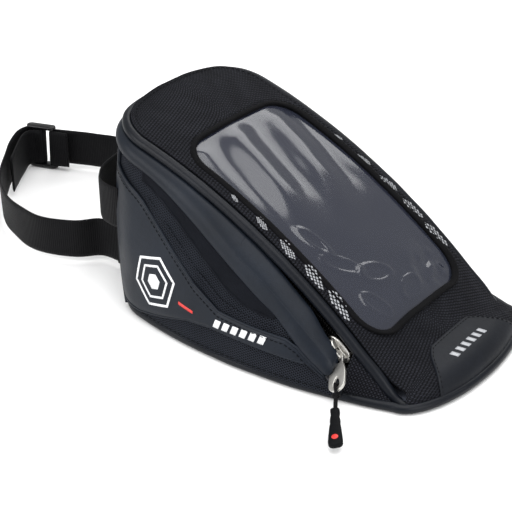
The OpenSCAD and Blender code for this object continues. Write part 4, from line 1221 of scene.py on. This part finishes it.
def extruded(outline, z0, z1, round_edge):
    """Plate from an outline, its edges rounded, as rings for tube()."""
    o = np.asarray(outline, float)
    c = o.mean(0)
    t = unit(np.roll(o, -1, 0) - np.roll(o, 1, 0))
    n = np.stack([t[:, 1], -t[:, 0]], 1)
    if np.sum(n * (o - c)) < 0:
        n = -n
    rings = []
    profile = ((z0, 0, 1.0), (z0, 0.3, 0.3), (z0, 1, 0.0), (z1, -1, 0.0), (z1, -0.3, 0.3), (z1, 0, 1.0))
    for z, rise, inset in profile:
        rings.append(np.column_stack([o - n * round_edge * inset, np.full(len(o), z + rise * round_edge)]))
    return np.stack(rings)


def build_zip(p, out, up):
    coil_w = -ZIP_INSET + COIL_R + 0.05
    gap = 0.8 + COIL_R
    # the two coils: a wound thread each, along the zip's line
    for name, h, body in (("lower", -ZIP_DEPTH - gap, "bag_body"), ("upper", -ZIP_DEPTH + gap, "lid")):
        q = p + coil_w * out + h * up
        seg = run_length(q)
        s = np.linspace(0, seg[-1], int(seg[-1] / COIL_PITCH * 8))
        angle = s / COIL_PITCH * 2 * math.pi
        across = unit(sampled(s, seg, out)) * (0.72 * np.cos(angle))[:, None]
        wire = sampled(s, seg, q) + across + unit(sampled(s, seg, up)) * (0.78 * np.sin(angle))[:, None]
        sweep_round(f"{name}_coil", wire, 0.3, M_COIL, body, n=5,
                    stands_for=(f"{name}_zip_coil",), slot="zip_coil")
    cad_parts["upper_zip_tape"].data.materials[0] = M_TAPE
    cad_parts["zip_end_stops"].data.materials[0] = M_METAL

    # slider: two pointed-oval plates joined by a post, a bridge-shaped crown on top
    z = zip_matrix(SLIDER_ANGLE)
    a = np.linspace(0, 2 * math.pi, 72, endpoint=False)
    ca, sa = np.cos(a), np.sin(a)
    wide = np.where(ca > 0, 4.5, 4.5 - 1.2 * np.clip(-ca, 0, 1) ** 1.2)
    plate = np.stack([8.4 * np.sign(ca) * np.abs(ca) ** 0.75, wide * np.sign(sa) * np.abs(sa) ** 0.8], 1)
    top_z, low_z = COIL_R + 0.15, -COIL_R - 0.95
    rings = extruded(plate, top_z, top_z + 1.3, 0.45)
    rings[3:, :, :2] *= [0.97, 0.93]
    tube("slider_top", moved(rings, z), M_METAL, "zip_slider",
         stands_for=("slider_body",), slot="bright_metal")
    tube("slider_under", moved(extruded(plate * 0.98, low_z - 1.2, low_z, 0.3), z), M_METAL, "zip_slider")
    post = [[4.7, -0.55], [7.1, -0.55], [7.1, 0.55], [4.7, 0.55]]
    tube("slider_post", moved(extruded(post, low_z - 0.4, top_z + 0.4, 0.1), z), M_METAL, "zip_slider")
    crown = z @ Matrix.Translation((0, 1.6, top_z + 1.15)) @ turn(90, "X")
    shape = [(-6.9, -0.4), (-6.5, 1.9), (-5.5, 3.3), (-3.8, 4.1), (-1, 4.4), (2.2, 4.4), (4.4, 4.1),
             (5.6, 3.1), (6.2, 1.6), (6.3, -0.4)]
    opening = [(-3.6, 0.5), (-3.3, 1.3), (-2.7, 1.85), (-1.8, 2.0), (-0.8, 2.0), (0.0, 1.7), (0.4, 1.1),
               (0.5, 0.5)]
    ring_plate("slider_bridge", shape, [opening], 0, 3.3, crown, "zip_slider", 0.6,
               stands_for=("slider_crown",), slot="bright_metal")
    saddle = [(-6.6, -0.4), (-6.3, 1.7), (-5.3, 3.0), (-3.7, 3.8), (-1.4, 4.05), (-1.1, -0.4)]
    ring_plate("slider_saddle", saddle, [], -0.9, 4.2, crown, "zip_slider", 0.6)
    return z @ Matrix.Translation((3, 0, top_z + 3.9)) @ turn(-TAB_ANGLE, "Y")


def ring_plate(name, outline, holes, z0, z1, m, body, round_edge, **kw):
    """Flat metal plate with holes, its edges bevelled."""
    b = bmesh.new()
    loops = []
    for pts in [outline] + holes:
        vs = [b.verts.new((q[0], q[1], 0)) for q in pts]
        loops += [b.edges.new((vs[k], vs[(k + 1) % len(vs)])) for k in range(len(vs))]
    bmesh.ops.triangle_fill(b, use_beauty=True, use_dissolve=False, edges=loops)
    geom = bmesh.ops.extrude_face_region(b, geom=b.faces[:])
    risen = [v for v in geom["geom"] if isinstance(v, bmesh.types.BMVert)]
    bmesh.ops.translate(b, verts=risen, vec=(0, 0, z1 - z0))
    bmesh.ops.translate(b, verts=b.verts, vec=(0, 0, z0))
    bmesh.ops.recalc_face_normals(b, faces=b.faces)
    sharp = [e for e in b.edges if len(e.link_faces) == 2 and e.calc_face_angle(0) > 1.0]
    bmesh.ops.bevel(b, geom=sharp, offset=round_edge, segments=3, affect="EDGES", profile=0.6)
    bmesh.ops.transform(b, matrix=Matrix.Scale(MM, 4) @ m, verts=b.verts)
    mesh = bpy.data.meshes.new(name)
    b.to_mesh(mesh)
    b.free()
    return finished(name, mesh, M_METAL, body, **kw)


def build_tab(m):
    """Pull tab: rounded plate with a slot at its root and a big eye at its end, on a pin."""
    m = m @ turn(TAB_TWIST, "X")
    xs = np.concatenate([np.linspace(-1.3, 14, 22), 14.5 + 6.6 * np.sin(np.linspace(0, 0.5 * math.pi, 12))])
    half = np.interp(xs, [-1.3, 4.4, 7.4, 10, 14.5, 30], [3.1, 3.1, 4.4, 5.1, 5.2, 5.2])
    half = half * np.sqrt(np.clip(1 - np.clip((xs - 15.6) / 5.5, 0, 1) ** 2.6, 0, 1))
    half[:2] = [2.2, 2.8]
    outline = list(zip(xs, half)) + [(x, -h) for x, h in zip(xs[::-1], half[::-1]) if h > 0.02]

    def hole(x0, x1, w0, w1, n):
        a = np.linspace(0, 2 * math.pi, n, endpoint=False)
        x = (x0 + x1) / 2 + (x1 - x0) / 2 * np.cos(a)
        w = np.interp(x, [x0, x1], [w0, w1])
        return list(zip(x, w * np.sign(np.sin(a)) * np.abs(np.sin(a)) ** 0.7))
    holes = [hole(0.8, 4.6, 1.75, 1.75, 22), hole(12.6, TAB_L + 0.9, 1.0, 2.6, 30)]
    ring_plate("tab_plate", outline, holes, -TAB_T / 2, TAB_T / 2, m, "pull_tab", 0.28,
               stands_for=("pull_tab",), slot="bright_metal")
    pin = xyz(0, np.linspace(-2.6, 2.6, 12), 0)
    sweep_round("tab_pin", moved(pin, m), 0.55, M_METAL, "pull_tab", n=10)


def build_grip(m):
    grip = m @ Matrix.Translation((TAB_L + CORD_L + 0.1, 0, 0)) @ turn(-GRIP_DROOP, "Y")
    grip = grip @ turn(GRIP_LEAN, "Z") @ turn(GRIP_TWIST, "X")
    m = m @ turn(TAB_TWIST, "X")
    # the cord: a loop through the tab's eye whose two legs run to the grip, and a knot; x from the tab's end
    ends = moved([[2.6, 0, 0.75], [2.6, 0, -0.75]], m.inverted() @ grip) - [TAB_L, 0, 0]
    path = np.array([ends[0], [CORD_L - 2.5, 0.4, 0.9], [6, 0.7, 1.25], [2.4, 0.6, 1.75], [-0.2, 0.2, 1.9],
                     [-0.9, 0.0, 0.0], [-0.2, -0.2, -1.9], [2.4, -0.6, -1.75], [6, -0.7, -1.25],
                     [CORD_L - 2.5, -0.3, -0.9], ends[1]])
    knot = [[4.4, 0.2, 1.9], [4.9, 1.8, 0.3], [5.2, 0.4, -1.9], [5.6, -1.8, 0.0], [6.0, -0.2, 1.9],
            [6.4, 1.7, 0.4]]
    at_eye = m @ Matrix.Translation((TAB_L, 0, 0))
    sweep_round("cord_loop", moved(smooth_line(path, 9), at_eye), 0.78, M_CORD, "pull_grip", n=10,
                stands_for=("pull_cord",), slot="cord")
    sweep_round("cord_knot", moved(smooth_line(knot, 7), at_eye), 0.7, M_CORD, "pull_grip", n=8, taper=3)
    # flared flat grip with a round collar at its root
    s = np.linspace(0, 1, 46)
    half = 2.3 + 1.4 * smooth((s - 0.12) / 0.8)
    thick = 2.1 - 0.35 * smooth(s * 1.3)
    cap = np.sqrt(np.clip(1 - np.clip((s - 0.9) / 0.1, 0, 1) ** 2.4, 0.0, 1))
    size = np.stack([half * np.maximum(cap, 0.05), thick * (0.35 + 0.65 * cap)], 1)
    size = size * dome(s / 0.04, 0.02)[:, None]
    ribs = 1 + 0.05 * np.sin(s * 26) * (s < 0.45)
    a = np.linspace(0, 2 * math.pi, 28, endpoint=False)
    bent = lambda v, power: np.sign(v) * np.abs(v) ** power
    ring = np.stack([bent(np.cos(a), 0.5), bent(np.sin(a), 0.6)], 1)
    rings = placed(xyz(mix(0.6, GRIP_L, s), 0, 0), np.tile([0.0, 1, 0], (46, 1)), upright(46),
                   ring[None] * size[:, None] * ribs[:, None, None])
    tube("grip_body", moved(rings, grip), M_RUBBER, "pull_grip",
         stands_for=("pull_grip",), slot="grip_rubber")
    disc = circle(1.7, 30) + [GRIP_L - 5.6, 0]
    tube("grip_mark", moved(extruded(disc, 0.9, 2.0, 0.2), grip), M_RED, "pull_grip",
         stands_for=("grip_inlay",), slot="red_mark")


def smooth_line(points, steps):
    """Catmull-Rom curve through points."""
    p = np.asarray(points, float)
    n = len(p)
    out = []
    for i in range(n - 1):
        a, b, c, d = p[max(0, i - 1)], p[i], p[i + 1], p[min(n - 1, i + 2)]
        for k in np.arange(steps) / steps:
            square, cube = 2 * a - 5 * b + 4 * c - d, 3 * b - a - 3 * c + d
            out.append(0.5 * (2 * b + (c - a) * k + square * k * k + cube * k ** 3))
    return np.array(out + [p[-1]])


# ---------------------------------------------------------------- webbing

HANDLE_HALF = [(-93.5, -60.6), (-97, -61), (-103, -60.2), (-111, -57), (-121, -44), (-126, -23)]
HANDLE_Z, STRAP_Z = 58.0, 16.0
ANCHOR_ROOT, ANCHOR_L, ANCHOR_OFF = np.array([-104.8, -36.0]), 14.0, 1.9
BAR_POS = np.array([-254.0, 33.0])
BAR_DIR = np.array([10.0, 3.6]) / math.hypot(10, 3.6)
BAR_OUT = np.array([-BAR_DIR[1], BAR_DIR[0]])
BAR_PITCH, BAR_R = 8.0, 1.4
WRAP_R = BAR_R + 0.3 + WEB_T / 2


def at_bar(s, n):
    return BAR_POS + s * BAR_DIR + n * BAR_OUT


def wrapped(s, first, end):
    """Line round one bar of the adjuster, between two angles."""
    a = np.radians(np.arange(first, end, math.copysign(10, end - first)))
    return np.array([at_bar(s + WRAP_R * math.cos(k), WRAP_R * math.sin(k)) for k in a])


def ribbon(name, line, z, body, waver=0.25, seed=101, **kw):
    """Webbing standing on its edge along a line in plan, its long edges thinner than its middle."""
    p = np.asarray(line, float)
    seg = run_length(p)
    n = max(8, int(seg[-1] / 1.3))
    s = np.linspace(0, seg[-1], n)
    q = sampled(s, seg, p)
    for _ in range(3):
        q[1:-1] = (q[:-2] + 2 * q[1:-1] + q[2:]) / 4
    t = unit(np.gradient(q, axis=0))
    face = [(WEB_T / 2 * (1 if abs(r) < 0.96 else 0.45), r * WEB_W / 2) for r in np.linspace(-1, 1, 13)]
    back = [(-a, b) for a, b in face[::-1]]
    sec = np.repeat(np.array(face + back)[None], n, 0)
    lean = waver * ripple(s, 0 * s, 17, seed)[:, None] * (sec[..., 1] / (WEB_W / 2))
    sec[..., 0] += lean * smooth(np.minimum(s, seg[-1] - s) / 8)[:, None]
    rings = placed(xyz(q[:, 0], q[:, 1], z), xyz(-t[:, 1], t[:, 0], 0), upright(n), sec)
    return tube(name, rings, M_WEB, body, **kw)


def mirrored(points):
    return [(x, -y) for x, y in points[::-1]]


def build_webbing():
    line = smooth_line(HANDLE_HALF + [(-127, 0)] + mirrored(HANDLE_HALF), 12)
    handle = ribbon("handle_webbing", line, HANDLE_Z, None, stands_for=("carry_handle",), slot="webbing")
    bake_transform(handle)

    off = ANCHOR_OFF
    half = [(ANCHOR_L, -off), (9, -off), (5, -off), (2.4, -off), (1.2, -1.0)]
    x = np.linspace(-ANCHOR_L + 1, -3.5, 12)
    for side, s in (("left", 1), ("right", -1)):
        pts = np.array([ANCHOR_ROOT + [-a, -b] for a, b in half + mirrored(half)]) * [1, s]
        kw = {"stands_for": ("strap_anchors",), "slot": "webbing"} if s == 1 else {}
        ribbon(f"{side}_anchor_fold", smooth_line(pts, 5), STRAP_Z, "bag_body", 0.0, **kw)
        for sign, face in ((-1, "outer"), (1, "inner")):
            for k, h in enumerate((-9.5, 9.5)):
                y = s * (ANCHOR_ROOT[1] + sign * (off + WEB_T / 2 + 0.06))
                row = xyz(ANCHOR_ROOT[0] + x, y, STRAP_Z + h)
                normals = np.tile([0.0, s * sign, 0], (len(x), 1))
                stitches(f"{side}_anchor_{face}_{k + 1}", row, normals, "bag_body", *WEB_STITCH)

    start = ANCHOR_ROOT + [-12.0, 0]
    outer = smooth_line([start, start + [-6, 0], start + [-12, 0], start + [-18, -2.2], (-145, -49),
                         (-169, -57), (-201, -49), (-224, -33), (-243, -11), (-257, 8), (-265, 23),
                         at_bar(-8, WRAP_R + 1.2), at_bar(0, WRAP_R)], 8)
    tail = smooth_line([at_bar(0, -WRAP_R), at_bar(-5, -WRAP_R - 0.8), (-258.6, 22), (-250, 7.5),
                        (-237, -11.5)], 8)
    ribbon("strap_long", np.concatenate([outer, wrapped(0, 75, -76), tail]), STRAP_Z,
           "headstock_strap", 0.6, 103, stands_for=("long_strap",), slot="webbing")
    far = start * [1, -1]
    outer = smooth_line([far, far + [-6, 0], far + [-12, 0], far + [-18, 1.6], (-160, 49), (-200, 54.5),
                         (-219, 50), at_bar(BAR_PITCH + 12, WRAP_R + 0.8), at_bar(BAR_PITCH, WRAP_R)], 8)
    back = [at_bar(BAR_PITCH, -WRAP_R), at_bar(BAR_PITCH + 12, -WRAP_R)]
    ribbon("strap_short", np.concatenate([outer, wrapped(BAR_PITCH, 105, 256), back]), STRAP_Z,
           "headstock_strap", 0.6, 105, stands_for=("short_strap",), slot="webbing")
    build_adjuster()


def build_adjuster():
    """Three-bar adjuster: two rounded rails with the bars between them."""
    place = Matrix.Translation((*BAR_POS, STRAP_Z)) @ turn(math.degrees(math.atan2(*BAR_DIR[::-1])), "Z")
    rail_w, rail_t = 6.4, 2.4
    rail_z = WEB_W / 2 + 0.4
    a = np.linspace(-math.pi / 2, math.pi / 2, 18)
    right = np.stack([BAR_PITCH + 2.5 + rail_w / 2 * (np.cos(a) - 1), rail_w / 2 * np.sin(a)], 1)
    outline = np.concatenate([right, -right])
    for name, s in (("lower", -1), ("upper", 1)):
        z0 = s * (rail_z + rail_t / 2) - rail_t / 2
        kw = {"stands_for": ("triglide",), "slot": "buckle_plastic"} if s == 1 else {}
        rings = moved(extruded(outline, z0, z0 + rail_t, 0.7), place)
        tube(f"adjuster_{name}_rail", rings, M_BUCKLE, "headstock_strap", **kw)
    for k, r in enumerate((0.95, 1.05, 0.95)):
        bar = xyz((k - 1) * BAR_PITCH, 0, np.linspace(-rail_z - 0.5, rail_z + 0.5, 20))
        sweep_round(f"adjuster_bar_{k + 1}", moved(bar, place), BAR_R * r, M_BUCKLE, "headstock_strap", n=14)


# ---------------------------------------------------------------- printed shapes


def prints(name, quads, place, material, body, lift=0.22, n=(4, 10)):
    """Thin raised print: four-sided shapes, each laid on a surface by place(a, b, lift), as one piece."""
    pts, faces = [], []
    rows, cols = n
    m = rows * cols
    u, v = np.meshgrid(np.linspace(0, 1, cols), np.linspace(0, 1, rows))
    for count, quad in enumerate(quads):
        a, b, c, d = np.asarray(quad, float)
        q = mix(mix(a, b, u[..., None]), mix(d, c, u[..., None]), v[..., None])
        for height in (lift, -0.35):
            pts.append(place(q[..., 0], q[..., 1], height).reshape(-1, 3))
        k = np.arange(m).reshape(rows, cols) + 2 * m * count
        for f in cells(k).reshape(-1, 4):
            faces += [f, f[::-1] + m]
        ring = np.concatenate([k[0], k[1:, -1], k[-1, -2::-1], k[-2:0:-1, 0]])
        after = np.roll(ring, -1)
        faces += list(np.stack([ring, after, after + m, ring + m], 1))
    return add_mesh(name, np.concatenate(pts), faces, material, body)


def wing_surface(flip):
    """Places prints on the wing of one side."""
    def place(x, z, lift):
        i = station_at(x)
        R = np.clip((z - wing_low(i)) / (wing_high(i) - wing_low(i)), 0, 1)
        row = np.round(R * (WING_ROWS - 1)).astype(int)
        col = np.round((i - WING_TIP) / (LEFT_SEAM - WING_TIP) * (WING_COLS - 1)).astype(int)
        return (wall(i, z, WING_OFF + sum(wing_crown(i, R, z)) + lift) + wing_rise()[row, col]) * [1, flip, 1]
    return place


def strip_surface(x, y, lift):
    """The woven border beside the window, and the binding next to it."""
    binding = 0.7 * (1 - smooth((np.abs(y) - 46.2) / 1.2))
    return np.stack([x, y, cloth_z(x, y) + binding + lift], -1)


def patch_surface(x, y, lift):
    return np.stack([x, y, nose_z(x, y) + 1.2 + lift], -1)


def slanted_bars(x, y, step, corners):
    """Six equal bars in a row, each from the same four corners."""
    return [[(x + k * step[0] + a, y + k * step[1] + b) for a, b in corners] for k in range(6)]


def nested_hexagons():
    """Two hexagon outlines and a solid one, each ring as six four-sided shapes."""
    quads = []
    for r0, r1 in ((15.5, 14.0), (10.4, 9.1), (4.6, 0.0)):
        for k in range(6):
            a, b = math.radians(60 * k + 15), math.radians(60 * k + 75)
            quads.append([(MOTIF_X + r * math.cos(q), MOTIF_Z + r * math.sin(q))
                          for r, q in ((r0, a), (r0, b), (r1, b), (r1, a))])
    return quads


def mark_clusters(flip):
    """Round clusters of small diamonds beside the window, larger towards the nose."""
    marks = []
    for x, size in ((-21, 0.34), (-3, 0.55), (14, 0.75), (31, 0.9), (47, 1.0)):
        pitch, r = 1.9 * size, 0.84 * size
        for k in range(13 * 13):
            a, b = k // 13 - 6, k % 13 - 6
            u, w = (a + b) * 0.707 * pitch, (a - b) * 0.707 * pitch
            cx, cy = x + u, 48.3 + w * 0.8
            if math.hypot((u - 0.6 * w) / (6.2 * size), w / (5.0 * size)) <= 1 and cy <= 51.2:
                marks.append([(cx - r, flip * cy), (cx, flip * (cy - r * 0.8)), (cx + r, flip * cy),
                              (cx, flip * (cy + r * 0.8))])
    return marks


def build_prints():
    wing_bars = slanted_bars(-12, 20.4, (5.6, 0), [(0, 0.2), (3.6, 0), (5.0, 4.2), (1.4, 4.4)])
    red_bar = [(-36, 24.9), (-26, 22.8), (-26, 24.3), (-36, 26.4)]
    patch_bars = slanted_bars(96.2, -16, (0, 5.6), [(0, -0.8), (4.4, 0.6), (4.4, 3.4), (0, 2.0)])
    for side, flip in (("left", 1), ("right", -1)):
        place = wing_surface(flip)
        prints(f"{side}_wing_motif", nested_hexagons(), place, M_WHITE, "bag_body")
        prints(f"{side}_wing_bar", [red_bar], place, M_RED, "bag_body")
        prints(f"{side}_wing_bars", wing_bars, place, M_WHITE, "bag_body", n=(4, 5))
        prints(f"{side}_lid_marks", mark_clusters(-flip), strip_surface, M_SILVER, "lid", lift=0.2, n=(3, 3))
    prints("patch_bars", patch_bars, patch_surface, M_SILVER, "bag_body", n=(4, 5))


# ---------------------------------------------------------------- the room


# camera and lights in metres, degrees and watts; each light's place, size and power
CAMERA_AT, CAMERA_TILT, CAMERA_TURN, LENS = (0.362, -0.529, 0.402), 60, 37.5, 92.4
AIM = (-0.02, 0, 0.05)
LIGHTS = (("back_softbox", (-0.35, 0.95, 1.0), (1.0, 0.5), 5),
          ("top_softbox", (0.1, -0.1, 1.5), (1.4, 1.4), 20),
          ("left_softbox", (-0.7, -1.2, 0.7), (0.9, 0.9), 14),
          ("front_softbox", (1.3, -0.3, 0.7), (0.8, 0.8), 9))


def area_light(name, place, size, power):
    """Soft light aimed at the bag's middle."""
    data = bpy.data.lights.new(name, "AREA")
    data.shape = "RECTANGLE"
    data.size, data.size_y = size
    data.energy = power
    obj = linked(name, data)
    obj.location = place
    obj.rotation_euler = (Vector(AIM) - Vector(place)).to_track_quat("-Z", "Y").to_euler()


def build_room():
    mesh = bpy.data.meshes.new("studio_floor")
    mesh.from_pydata([(-4, -4, 0), (4, -4, 0), (4, 4, 0), (-4, 4, 0)], [], [(0, 1, 2, 3)])
    m = Nodes("studio_floor")
    grey = m.ramp(m.noise(m.place, 2, 2), (0.3, (0.86, 0.86, 0.86)), (0.7, (0.9, 0.9, 0.9)))
    mesh.materials.append(m.finish(grey, 0.6, None))
    linked("studio_floor", mesh)
    world = bpy.data.worlds.new("studio_world")
    world.use_nodes = True
    back = world.node_tree.nodes["Background"]
    back.inputs[0].default_value = (1, 1, 1, 1)
    back.inputs[1].default_value = 0.6
    bpy.context.scene.world = world
    bpy.context.scene.view_settings.view_transform = "Standard"
    for name, place, size, power in LIGHTS:
        area_light(name, place, size, power)
    camera = bpy.data.cameras.new("camera")
    camera.lens, camera.sensor_width = LENS, 36
    view = linked("camera", camera)
    view.location = CAMERA_AT
    view.rotation_euler = (math.radians(CAMERA_TILT), 0, math.radians(CAMERA_TURN))
    bpy.context.scene.camera = view


build_base()
build_sides()
build_band()
build_tall_end()
ZIP_P, ZIP_OUT, ZIP_UP = build_inside()
build_lid()
build_window()
build_nose()
PIVOT = build_zip(ZIP_P, ZIP_OUT, ZIP_UP)
build_tab(PIVOT)
build_grip(PIVOT)
build_webbing()
build_prints()
build_room()
